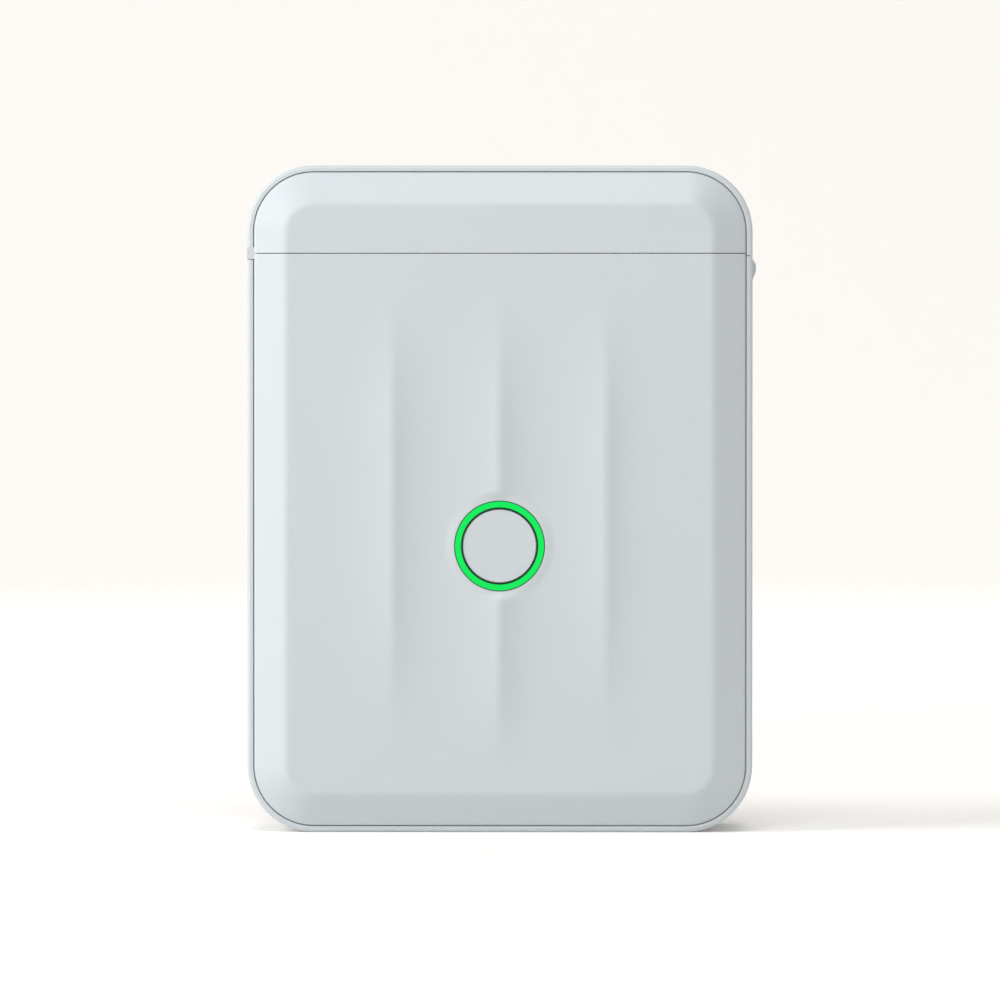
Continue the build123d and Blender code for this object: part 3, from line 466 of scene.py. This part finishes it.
    def _band_group(self) -> Tree:
        """Mask of a round band about a line along Y: 1 between two radii, 0 beside them.

        Returns:
            The node group.
        """
        tree, source, target = self._group(
            "round_band",
            {
                "Centre": (VECTOR, None), "Inner": (VALUE, 0.005), "Outer": (VALUE, 0.006),
                "Blur": (VALUE, 0.0001),
            },
            {"Mask": VALUE},
        )
        offset = self._vector(
            tree, "SUBTRACT", {0: object_place(tree), 1: source.outputs["Centre"]}
        )
        level = self._vector(tree, "MULTIPLY", {0: offset.outputs["Vector"]})
        level.inputs[1].default_value = (1.0, 0.0, 1.0)
        length = self._vector(tree, "LENGTH", {0: level.outputs["Vector"]})
        radius = length.outputs["Value"]
        past = math_node(tree, "SUBTRACT", radius, source.outputs["Inner"])
        left = math_node(tree, "SUBTRACT", source.outputs["Outer"], radius)
        near = math_node(tree, "MINIMUM", past, left)
        share = math_node(tree, "DIVIDE", near, source.outputs["Blur"])
        held = math_node(tree, "MINIMUM", math_node(tree, "MAXIMUM", share, 0.0), 1.0)
        tree.links.new(held, target.inputs["Mask"])
        return tree

    @staticmethod
    def _start(
        name: str, group: Tree, values: dict[str, object]
    ) -> tuple[bpy.types.Material, Node, Node]:
        """New node material with its Principled shader and one of the groups.

        Args:
            name: Name of the material.
            group: The node group.
            values: Values of the group's inputs, by name.

        Returns:
            The material, its shader node and its group node.
        """
        material = bpy.data.materials.new(name)
        material.use_nodes = True
        node = material.node_tree.nodes.new("ShaderNodeGroup")
        node.node_tree = group
        for label, value in values.items():
            node.inputs[label].default_value = value
        return material, material.node_tree.nodes["Principled BSDF"], node

    def _surface(
        self, material: bpy.types.Material, shader: Node, group: Node, bump_depth: float
    ) -> None:
        """Feed a group's colour, roughness and height into the shader.

        Args:
            material: Material being built.
            shader: Its Principled shader.
            group: Its group node.
            bump_depth: Bump distance in metres.
        """
        links = material.node_tree.links
        links.new(group.outputs["Colour"], shader.inputs["Base Color"])
        links.new(group.outputs["Roughness"], shader.inputs["Roughness"])
        bump = material.node_tree.nodes.new("ShaderNodeBump")
        bump.inputs["Strength"].default_value = self.BUMP_STRENGTH
        bump.inputs["Distance"].default_value = bump_depth
        links.new(group.outputs["Height"], bump.inputs["Height"])
        links.new(bump.outputs["Normal"], shader.inputs["Normal"])

    def plastic(self, finish: Plastic) -> bpy.types.Material:
        """Material of a moulded plastic finish.

        Args:
            finish: Values of the finish.

        Returns:
            The material.
        """
        material, shader, group = self._start(finish.name, self.moulding, {
            "Colour": (*finish.colour, 1.0),
            "Drift": finish.drift,
            "Roughness": finish.roughness,
            "Grain Size": finish.grain_size,
            "Grain Depth": finish.grain.value,
        })
        shader.inputs["Metallic"].default_value = 0.0
        shader.inputs["IOR"].default_value = finish.ior
        self._surface(material, shader, group, finish.bump)
        return material

    def metal(self, finish: Metal) -> bpy.types.Material:
        """Material of a brushed metal finish.

        Args:
            finish: Values of the finish.

        Returns:
            The material.
        """
        material, shader, group = self._start(finish.name, self.brushing, {
            "Colour": (*finish.colour, 1.0),
            "Roughness": finish.roughness,
            "Stretch": finish.brush,
        })
        shader.inputs["Metallic"].default_value = 1.0
        self._surface(material, shader, group, finish.bump)
        return material

    def light_ring(self, finish: LightRing) -> bpy.types.Material:
        """Material of the lit ring, with painted shade on its inner and outer edges.

        Args:
            finish: Values of the finish.

        Returns:
            The material.
        """
        material, shader, group = self._start(finish.name, self.band, {
            "Centre": finish.centre,
            "Inner": finish.inner,
            "Outer": finish.outer,
            "Blur": finish.blur,
        })
        links = material.node_tree.links
        mix = material.node_tree.nodes.new("ShaderNodeMix")
        mix.data_type = "RGBA"
        # A is the painted shade of the gaps beside the ring; it also dims the glow on both
        # edges
        mix.inputs["A"].default_value = (*finish.edge, 1.0)
        mix.inputs["B"].default_value = (*finish.colour, 1.0)
        links.new(group.outputs["Mask"], mix.inputs["Factor"])
        links.new(mix.outputs["Result"], shader.inputs["Base Color"])
        links.new(mix.outputs["Result"], shader.inputs["Emission Color"])
        shader.inputs["Emission Strength"].default_value = finish.glow
        shader.inputs["Roughness"].default_value = finish.roughness
        shader.inputs["Specular IOR Level"].default_value = finish.specular
        return material


CASE = Plastic("case_plastic", linear(209, 216, 220), roughness=0.46, drift=0.01)
FRAME = Plastic(
    "frame_plastic", linear(168, 173, 177), roughness=0.6, grain=Grain.COARSE, drift=0.03
)
GEAR = Plastic("gear_plastic", linear(238, 235, 224), roughness=0.4, drift=0.02)
DARK = Plastic("dark_plastic", linear(38, 38, 41), roughness=0.5, drift=0.05)
RUBBER = Plastic(
    "platen_rubber", linear(34, 34, 36), roughness=0.8, grain=Grain.COARSE, drift=0.06
)
BOARD = Plastic("board_resin", linear(22, 92, 58), roughness=0.35, drift=0.08)
CERAMIC = Plastic(
    "head_ceramic", linear(232, 226, 208), roughness=0.18, grain=Grain.POLISHED
)
WRAP = Plastic("cell_wrap", linear(186, 190, 196), roughness=0.35, drift=0.04)
FOAM = Plastic(
    "foam", linear(58, 58, 60), roughness=0.95, grain=Grain.COARSE, grain_size=4000.0,
    drift=0.1,
)
DIODE = Plastic("diode", linear(236, 236, 205), roughness=0.25, grain=Grain.POLISHED)
# The second colour is painted shade: the dark gaps at the ring's inner and outer edges
GREEN = LightRing("green_light", linear(0, 184, 70), linear(8, 40, 24))
STEEL = Metal("steel", linear(196, 198, 202))
BRASS = Metal("brass", linear(214, 176, 96), roughness=0.28)
ALUMINIUM = Metal("aluminium", linear(205, 208, 212), roughness=0.38)

FINISHES: dict[Finish, tuple[str, ...]] = {
    CASE: (
        "front_shell", "rear_shell", "lid_front", "lid_rear", "power_button", "release_button",
    ),
    FRAME: ("label_bay", "platen_carrier"),
    GEAR: ("step_gear", "idler_gear", "platen_gear", "platen_bushes"),
    DARK: ("power_switch", "switch_plunger", "label_sensor", "board_chips"),
    RUBBER: ("platen_roller",),
    BOARD: ("main_board", "port_board"),
    CERAMIC: ("print_head",),
    WRAP: ("battery",),
    FOAM: ("battery_pad",),
    DIODE: ("ring_lights",),
    GREEN: ("light_ring",),
    STEEL: (
        "hinge_pin", "case_screws", "lid_screws", "gear_axles", "platen_shaft", "tear_edge",
        "head_pivot", "front_head_spring", "rear_head_spring", "release_spring", "drive_motor",
        "motor_screws", "board_screws", "usb_port",
    ),
    BRASS: ("motor_pinion",),
    ALUMINIUM: ("heat_sink",),
}


@dataclass
class FrontPanel:
    """Bevelled front panel with its soft waves, parted at the lid line."""

    # Outline and section
    half_width: float = 36.53 * MM
    half_height: float = 48.53 * MM
    middle: float = 49.5 * MM
    corner: float = 8.93 * MM
    corner_least: float = 2.0 * MM
    corner_most_share: float = 0.9
    front: float = -14.5 * MM
    rim_front: float = RIM_FRONT
    back: float = -8.2 * MM
    bevel_width: float = 4.8 * MM
    wall: float = 1.6 * MM
    flat_soft: float = 0.55 * MM
    rim_soft: float = 0.45 * MM
    back_chamfer_deep: float = 0.1 * MM
    back_chamfer_wide: float = 0.05 * MM
    inside_step: float = 1.0 * MM
    hollow_turn: float = 0.6 * MM
    hollow_start: float = 3.0 * MM
    lid_line: float = 86.0 * MM
    lid_gap: float = 0.12 * MM

    # Waves
    wave_pitch: float = 15.8 * MM
    wave_height: float = 0.905 * MM
    wave_power: float = 2.8
    wave_rise: float = 11.5 * MM
    wave_fall: float = 7.5 * MM
    wave_round: float = 0.7 * MM
    wave_top: float = 83.5 * MM
    wave_fade_top: float = 26.0 * MM
    wave_bottoms: tuple[float, float, float] = (8.5 * MM, 7.0 * MM, 8.5 * MM)
    wave_fades: tuple[float, float, float] = (33.0 * MM, 19.0 * MM, 33.0 * MM)

    # Round the power button
    button_height: float = BUTTON_HEIGHT
    ring_hole: float = 6.73 * MM
    pad_proud: float = 0.25 * MM
    pad_flat: float = 6.75 * MM
    pad_fade: float = 1.5 * MM
    drill_length: float = 20.0 * MM

    # Fineness of the mesh
    around: int = 460
    front_lines: int = 110
    edge_lines: int = 8
    hollow_lines: int = 14
    crest_samples: int = 9
    hole_sides: int = 128
    weld: float = 1e-6
    cut_tolerance: float = 1e-7

    pieces: list[bpy.types.Object] = field(default_factory=list)

    def waves(self, x: np.ndarray, z: np.ndarray) -> np.ndarray:
        """Height of the waves above the flat.

        Each wave rises along a power curve to its crest and falls along a
        shorter one, averaged over a short window so that the crest is round.
        All fade in from the top alike. Towards the bottom the outer two fade
        early and the middle one late. Round the power button they turn into
        a flat, slightly proud pad.

        Args:
            x: Positions across the panel.
            z: Heights on the panel.

        Returns:
            Heights towards the viewer, in metres.
        """
        offsets = np.linspace(-self.wave_round, self.wave_round, self.crest_samples)
        crests = (-self.wave_pitch, 0.0, self.wave_pitch)
        total = np.zeros_like(x)
        for crest, bottom, fade in zip(crests, self.wave_bottoms, self.wave_fades):
            strength = smooth_step(z - bottom, fade)
            for offset in offsets:
                along = x + offset - crest
                rise = 1.0 + along / self.wave_rise
                fall = 1.0 - along / self.wave_fall
                share = np.maximum(np.where(along <= 0, rise, fall), 0.0)
                total += strength * share ** self.wave_power / len(offsets)
        total *= smooth_step(self.wave_top - z, self.wave_fade_top)
        pad = smooth_step(np.hypot(x, z - self.button_height) - self.pad_flat, self.pad_fade)
        return self.pad_proud * (1.0 - pad) + self.wave_height * total * pad

    def section(self) -> Profile:
        """Cross section of the panel as pairs of inset and depth.

        It runs from the middle of the front over the bevel and its softened
        edges, round the band's back edge and in along the inner face.

        Returns:
            Array of inset and depth, one row a line.
        """
        inner = self.half_width
        slope = (self.rim_front - self.front) / self.bevel_width
        turn = np.linspace(0.0, 1.0, self.edge_lines + 1)[1:]

        # The flat, and the soft edge that turns it into the bevel
        start, end = self.bevel_width + self.flat_soft, self.bevel_width - self.flat_soft
        drop = self.flat_soft * slope
        rows = [(inset, self.front) for inset in np.linspace(inner, start, self.front_lines)]
        rows += [(start + (end - start) * t, self.front + drop * t * t) for t in turn]

        # The bevel, and the soft edge that turns it into the rim's side
        for inset in np.linspace(end, self.rim_soft, self.edge_lines + 1)[1:]:
            rows.append((inset, self.rim_front - slope * inset))
        last_inset, last_depth = rows[-1]
        for t in turn:
            left = 1.0 - t
            depth = left * left * last_depth + 2 * left * t * self.rim_front
            depth += t * t * (self.rim_front + self.rim_soft)
            rows.append((left * left * last_inset, depth))

        # The band's back edge, its inside and the hollow behind the flat
        deep = self.back - self.back_chamfer_deep
        rows += [
            (0.0, deep),
            (self.back_chamfer_wide, self.back),
            (self.wall - self.back_chamfer_wide, self.back),
            (self.wall, deep),
            (self.wall, self.rim_front + self.inside_step),
        ]
        ceiling = self.front + self.wall
        rows.append((self.bevel_width + self.hollow_turn, ceiling))
        begin = self.bevel_width + self.hollow_start
        rows += [(inset, ceiling) for inset in np.linspace(begin, inner, self.hollow_lines)]
        return np.array(rows)

    def ring(self, inset: np.ndarray) -> tuple[np.ndarray, np.ndarray]:
        """Rounded outline moved in by an inset, for all lines at once.

        The outline is a straight-sided rectangle whose corner arcs shrink
        with the inset. Each of its eight arcs and sides has as many points.

        Args:
            inset: One inset for each line.

        Returns:
            X and Z arrays, lines by points around.
        """
        points = self.around // 8
        wide = self.half_width - inset
        high = self.half_height - inset
        least = np.minimum(self.corner_least, wide * self.corner_most_share)
        radius = np.maximum(self.corner - inset, least)
        share = np.linspace(0.0, 1.0, points, endpoint=False)
        xs, zs = [], []
        signs = ((1, 1, 0.0), (-1, 1, 90.0), (-1, -1, 180.0), (1, -1, 270.0))
        for index, (sx, sz, start) in enumerate(signs):
            angle = np.radians(start + np.linspace(0.0, 90.0, points, endpoint=False))
            cx = sx * (wide - radius)
            cz = sz * (high - radius)
            xs.append(cx[:, None] + radius[:, None] * np.cos(angle)[None, :])
            zs.append(cz[:, None] + radius[:, None] * np.sin(angle)[None, :])
            nx, nz, _ = signs[(index + 1) % 4]
            turn = math.radians(start + 90.0)
            x0 = cx + radius * math.cos(turn)
            z0 = cz + radius * math.sin(turn)
            x1 = nx * (wide - radius) + radius * math.cos(turn)
            z1 = nz * (high - radius) + radius * math.sin(turn)
            xs.append(x0[:, None] + (x1 - x0)[:, None] * share[None, :])
            zs.append(z0[:, None] + (z1 - z0)[:, None] * share[None, :])
        return np.concatenate(xs, axis=1), np.concatenate(zs, axis=1)

    def blank(self, name: str) -> bpy.types.Mesh:
        """Whole panel as one closed mesh.

        Args:
            name: Name of the mesh.

        Returns:
            The mesh, in metres.
        """
        profile = self.section()
        inset, depth = profile[:, 0], profile[:, 1]
        x, z = self.ring(inset)
        z = z + self.middle
        y = np.repeat(depth[:, None], x.shape[1], axis=1)
        shaped = self.front_lines + self.edge_lines
        y[:shaped] -= self.waves(x[:shaped], z[:shaped])
        points = np.stack([x, y, z], axis=-1).reshape(-1, 3)
        return solid_mesh(name, points, wrapped_quads(*x.shape), self.weld)

    def part(self, name: str, keep_above: bool) -> bpy.types.Object:
        """One side of the blank at the lid line, closed at the cut.

        Args:
            name: Name of the piece.
            keep_above: True for the lid's half.

        Returns:
            The object.
        """
        mesh = self.blank(name)
        height = self.lid_line if keep_above else self.lid_line - self.lid_gap
        with editing(mesh) as work:
            cut = bmesh.ops.bisect_plane(
                work, geom=[*work.verts, *work.edges, *work.faces], dist=self.cut_tolerance,
                plane_co=(0, 0, height), plane_no=(0, 0, 1),
                clear_inner=keep_above, clear_outer=not keep_above,
            )
            rim = [e for e in cut["geom_cut"] if isinstance(e, bmesh.types.BMEdge)]
            bmesh.ops.triangle_fill(work, edges=rim, use_beauty=True)
        return add_object(name, mesh)

    def drill(self, piece: bpy.types.Object) -> None:
        """Cut the round hole for the light ring.

        Args:
            piece: The body's half of the panel.
        """
        work = bmesh.new()
        bmesh.ops.create_cone(
            work, cap_ends=True, segments=self.hole_sides, radius1=self.ring_hole,
            radius2=self.ring_hole, depth=self.drill_length,
        )
        upright = Matrix.Rotation(math.radians(90.0), 3, "X")
        bmesh.ops.rotate(work, verts=work.verts, cent=(0, 0, 0), matrix=upright)
        bmesh.ops.translate(work, verts=work.verts, vec=(0, self.front, self.button_height))
        mesh = bpy.data.meshes.new("ring_drill")
        work.to_mesh(mesh)
        work.free()
        tool = add_object("ring_drill", mesh)
        modifier = piece.modifiers.new("hole", "BOOLEAN")
        modifier.operation = "DIFFERENCE"
        modifier.solver = "EXACT"
        modifier.object = tool
        bake(piece)
        bpy.data.objects.remove(tool)

    def build(self) -> None:
        """Make both halves and put them in the place of the CAD panels."""
        body = self.part("front_panel", keep_above=False)
        self.drill(body)
        lid = self.part("lid_panel", keep_above=True)
        for piece, node, owner in ((body, "front_shell", "case"), (lid, "lid_front", "lid")):
            shade(piece)
            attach(piece, owner)
            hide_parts(node)
            self.pieces.append(piece)
            LOG.info("%s: %d faces", piece.name, len(piece.data.polygons))

    def dress(self, material: bpy.types.Material) -> None:
        """Give both halves one finish.

        Args:
            material: The finish.
        """
        for piece in self.pieces:
            piece.data.materials.clear()
            piece.data.materials.append(material)


@dataclass
class CoilSpring:
    """Compression spring along X, held on the case."""

    name: str
    node: str
    joint: str
    start: float
    end: float
    depth: float
    height: float
    radius: float
    fixed: float
    travel: float
    wire: float = 0.18 * MM
    slack: float = 0.02 * MM
    turns: float = 3.0
    steps: int = 96
    sides: int = 12
    sharp_angle: float = 40.0

    def mesh(self) -> bpy.types.Mesh:
        """Round wire wound round a line along X, closed at both ends.

        The centre line is a helix: it runs along X evenly and round the axis
        by the turns. Round it, each point of the wire lies at the wire's
        radius, part outwards and part along the direction square to both.

        Returns:
            The mesh, in metres.
        """
        share = np.linspace(0.0, 1.0, self.steps)
        angle = 2.0 * math.pi * self.turns * share
        low = self.start + self.slack + self.wire
        high = self.end - self.slack - self.wire
        pitch = (high - low) / (2.0 * math.pi * self.turns)
        sine, cosine = np.sin(angle), np.cos(angle)
        outward = np.stack([np.zeros_like(angle), cosine, sine], axis=-1)
        axis = np.stack([
            low + (high - low) * share,
            np.full_like(share, self.depth),
            np.full_like(share, self.height),
        ], axis=-1)
        centre = axis + outward * self.radius
        along = np.stack([
            np.full_like(angle, pitch), -self.radius * sine, self.radius * cosine,
        ], axis=-1)
        along /= np.linalg.norm(along, axis=1, keepdims=True)
        across = np.cross(along, outward)
        turn = np.linspace(0.0, 2.0 * math.pi, self.sides, endpoint=False)
        ring = outward[:, None, :] * np.cos(turn)[None, :, None]
        ring = ring + across[:, None, :] * np.sin(turn)[None, :, None]
        points = (centre[:, None, :] + ring * self.wire).reshape(-1, 3)
        count = len(points)
        caps = [list(range(self.sides)), list(range(count - self.sides, count))]
        return solid_mesh(self.name, points, wrapped_quads(self.steps, self.sides) + caps)

    def build(self, material: bpy.types.Material) -> bpy.types.Object:
        """Make the spring and put it in its node's place, on the case.

        Args:
            material: Finish of the wire.

        Returns:
            The spring.
        """
        piece = add_object(self.name, self.mesh())
        piece.data.materials.append(material)
        shade(piece, self.sharp_angle)
        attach(piece, "case")
        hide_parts(self.node)
        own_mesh(piece)
        return piece


def head_coil(side: str, depth: float) -> CoilSpring:
    """One of the two springs behind the print head, which push against the case.

    Args:
        side: front or rear.
        depth: Where the spring lies from front to back.

    Returns:
        The spring's values.
    """
    start, end = 25.65 * MM, 28.6 * MM
    return CoilSpring(
        f"{side}_head_coil", f"{side}_head_spring", "head_swing", start=start, end=end,
        depth=depth, height=83.6 * MM, radius=1.1 * MM, fixed=end, travel=0.42 * MM,
    )


RELEASE_COIL = CoilSpring(
    "release_coil", "release_spring", "release_push", start=30.2 * MM, end=33.95 * MM,
    depth=3.7 * MM, height=82.8 * MM, radius=1.3 * MM, fixed=30.2 * MM, travel=1.22 * MM,
)

SPRINGS: tuple[CoilSpring, ...] = (
    head_coil("front", 1.0 * MM),
    head_coil("rear", 8.0 * MM),
    RELEASE_COIL,
)


@dataclass(frozen=True)
class Lamp:
    """Square area lamp on a sphere round the object.

    The azimuth is in degrees from the front, positive to the right, and the
    elevation in degrees above level. The side is in metres, the power in watts.
    """

    name: str
    azimuth: float
    elevation: float
    side: float
    power: float


LAMPS = (
    Lamp("key", -60.0, 35.0, 0.5, 4.6),
    Lamp("side", -80.0, 12.0, 0.5, 4.65),
    Lamp("front", 0.0, 55.0, 0.6, 5.5),
    Lamp("rear", 165.0, 50.0, 0.7, 2.6),
)


@dataclass
class Studio:
    """Pale floor and backdrop, soft lights and the long-lens camera."""

    # Camera
    distance: float = 1.35
    camera_side: float = 0.012
    camera_height: float = 0.030
    sensor: float = 36.0
    sight: float = 20.0

    # Lamps and world
    aim: Vector = field(default_factory=lambda: Vector((0.0, 0.0, 0.05)))
    lamp_distance: float = 1.2
    sky: float = 0.28
    seen_sky: float = 0.95
    sky_colour: Colour = (1.0, 0.985, 0.965)

    # Floor and backdrop, in metres
    floor_front: float = -2.0
    floor_back: float = 1.2
    bend_radius: float = 0.5
    bend_lines: int = 24
    wall_height: float = 2.2
    half_span: float = 3.0
    floor_colour: Colour = linear(250, 248, 245)
    floor_roughness: float = 0.9

    # How much the floor is lifted towards the photograph's pale ground
    lift_colour: Colour = (1.0, 0.972, 0.938)
    lift_near: float = -0.1
    lift_far: float = 1.05
    lift_floor: float = 0.165
    lift_wall: float = 0.455

    def floor(self) -> None:
        """One sheet from the floor up into the backdrop along a quarter circle."""
        turn = np.linspace(0.0, math.pi / 2, self.bend_lines)
        bend = self.bend_radius
        back = self.floor_back
        y = np.concatenate([[self.floor_front], back + bend * np.sin(turn), [back + bend]])
        z = np.concatenate([[0.0], bend - bend * np.cos(turn), [self.wall_height]])
        x = np.array([-self.half_span, self.half_span])
        points = np.array([(a, b, c) for b, c in zip(y, z) for a in x])
        quads = [(2 * i, 2 * i + 1, 2 * i + 3, 2 * i + 2) for i in range(len(y) - 1)]
        mesh = bpy.data.meshes.new("floor")
        mesh.from_pydata(points.tolist(), [], quads)
        sheet = add_object("floor", mesh)
        shade(sheet)
        mesh.materials.append(self.paper())

    @staticmethod
    def seen(tree: Tree, kinds: tuple[str, ...]) -> Socket:
        """Whether a ray is of one of some kinds.

        Args:
            tree: Tree that gets the nodes.
            kinds: Outputs of the Light Path node.

        Returns:
            The socket with 1 for such a ray, and 0 for others.
        """
        rays = tree.nodes.new("ShaderNodeLightPath")
        result: Socket = rays.outputs[kinds[0]]
        for kind in kinds[1:]:
            result = math_node(tree, "MAXIMUM", result, rays.outputs[kind])
        return result

    def paper(self) -> bpy.types.Material:
        """Floor material: pale, and lifted a little where it is seen.

        Returns:
            The material.
        """
        material = bpy.data.materials.new("floor_paper")
        material.use_nodes = True
        tree = material.node_tree
        shader = tree.nodes["Principled BSDF"]
        shader.inputs["Base Color"].default_value = (*self.floor_colour, 1.0)
        shader.inputs["Roughness"].default_value = self.floor_roughness
        shader.inputs["Specular IOR Level"].default_value = 0.0
        shader.inputs["Emission Color"].default_value = (*self.lift_colour, 1.0)
        axes = tree.nodes.new("ShaderNodeSeparateXYZ")
        tree.links.new(object_place(tree), axes.inputs[0])
        lift = tree.nodes.new("ShaderNodeMapRange")
        lift.interpolation_type = "SMOOTHSTEP"
        lift.inputs["From Min"].default_value = self.lift_near
        lift.inputs["From Max"].default_value = self.lift_far
        lift.inputs["To Min"].default_value = self.lift_floor
        lift.inputs["To Max"].default_value = self.lift_wall
        tree.links.new(axes.outputs["Y"], lift.inputs["Value"])
        seen = self.seen(tree, ("Is Camera Ray", "Is Glossy Ray"))
        glow = math_node(tree, "MULTIPLY", seen, lift.outputs["Result"])
        tree.links.new(glow, shader.inputs["Emission Strength"])
        return material

    def lamp(self, lamp: Lamp) -> None:
        """Add one area lamp that faces the object.

        Args:
            lamp: Values of the lamp.
        """
        side, up = math.radians(lamp.azimuth), math.radians(lamp.elevation)
        level = self.lamp_distance * math.cos(up)
        place = self.aim + Vector((
            level * math.sin(side), -level * math.cos(side), self.lamp_distance * math.sin(up),
        ))
        data = bpy.data.lights.new(lamp.name, "AREA")
        data.size = lamp.side
        data.energy = lamp.power
        made = add_object(lamp.name, data)
        made.location = place
        made.rotation_euler = (self.aim - place).to_track_quat("-Z", "Y").to_euler()

    def world(self) -> None:
        """A weak even sky that camera, glossy and transmission rays see as pale."""
        world = bpy.data.worlds.new("studio")
        bpy.context.scene.world = world
        world.use_nodes = True
        tree = world.node_tree
        back = tree.nodes["Background"]
        back.inputs["Color"].default_value = (*self.sky_colour, 1.0)
        seen = self.seen(tree, ("Is Camera Ray", "Is Glossy Ray", "Is Transmission Ray"))
        strength = tree.nodes.new("ShaderNodeMapRange")
        strength.inputs["To Min"].default_value = self.sky
        strength.inputs["To Max"].default_value = self.seen_sky
        tree.links.new(seen, strength.inputs["Value"])
        tree.links.new(strength.outputs["Result"], back.inputs["Strength"])

    def camera(self) -> None:
        """Camera just above and right of the object's middle, framed by the silhouette."""
        data = bpy.data.cameras.new("camera")
        camera = add_object("camera", data)
        bpy.context.scene.camera = camera
        half = FRAME_PIXELS / 2
        centre_x = ((CASE_LEFT + CASE_RIGHT) / 2 - half) * METRES_PER_PIXEL
        centre_z = (half - (CASE_TOP + CASE_BOTTOM) / 2) * METRES_PER_PIXEL
        aim = Vector((-centre_x, RIM_FRONT, CASE_HEIGHT / 2 - centre_z))
        place = aim + Vector((self.camera_side, -self.distance, self.camera_height))
        camera.location = place
        camera.rotation_euler = (aim - place).to_track_quat("-Z", "Y").to_euler()
        across = FRAME_PIXELS * METRES_PER_PIXEL
        data.sensor_width = self.sensor
        data.lens = data.sensor_width * (aim - place).length / across
        data.clip_end = self.sight

    def build(self) -> None:
        """Set the whole studio up."""
        self.floor()
        for lamp in LAMPS:
            self.lamp(lamp)
        self.world()
        self.camera()
        bpy.context.scene.view_settings.view_transform = "Standard"
        LOG.info("studio: camera %.2f m away", self.distance)


class Dresser:
    """Gives every CAD node its finish."""

    def __init__(self, kit: ShaderKit) -> None:
        """Set which method of the shader kit makes each kind of finish.

        Args:
            kit: Maker of the materials.
        """
        self.makers = {Plastic: kit.plastic, Metal: kit.metal, LightRing: kit.light_ring}
        self.made: dict[str, bpy.types.Material] = {}

    def material(self, finish: Finish) -> bpy.types.Material:
        """Material of a finish, made once.

        Args:
            finish: Values of the finish.

        Returns:
            The material.
        """
        if finish.name not in self.made:
            self.made[finish.name] = self.makers[type(finish)](finish)
        return self.made[finish.name]

    def dress(self, nodes: dict[str, bpy.types.Object]) -> None:
        """Assign the finishes to the CAD objects.

        Args:
            nodes: CAD objects by node name.
        """
        for finish, names in FINISHES.items():
            for name in names:
                piece = nodes[name]
                piece.data.materials.clear()
                piece.data.materials.append(self.material(finish))
                LOG.info("%s: %s", name, finish.name)


def main() -> None:
    """Build the printer's looks, the studio and the camera."""
    logging.basicConfig(level=logging.INFO)
    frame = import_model()
    kit = ShaderKit()
    dresser = Dresser(kit)
    dresser.dress(frame["nodes"])
    panel = FrontPanel()
    panel.build()
    panel.dress(dresser.material(CASE))
    for spring in SPRINGS:
        spring.build(dresser.material(STEEL))
    Studio().build()


if __name__ == "__main__":
    main()
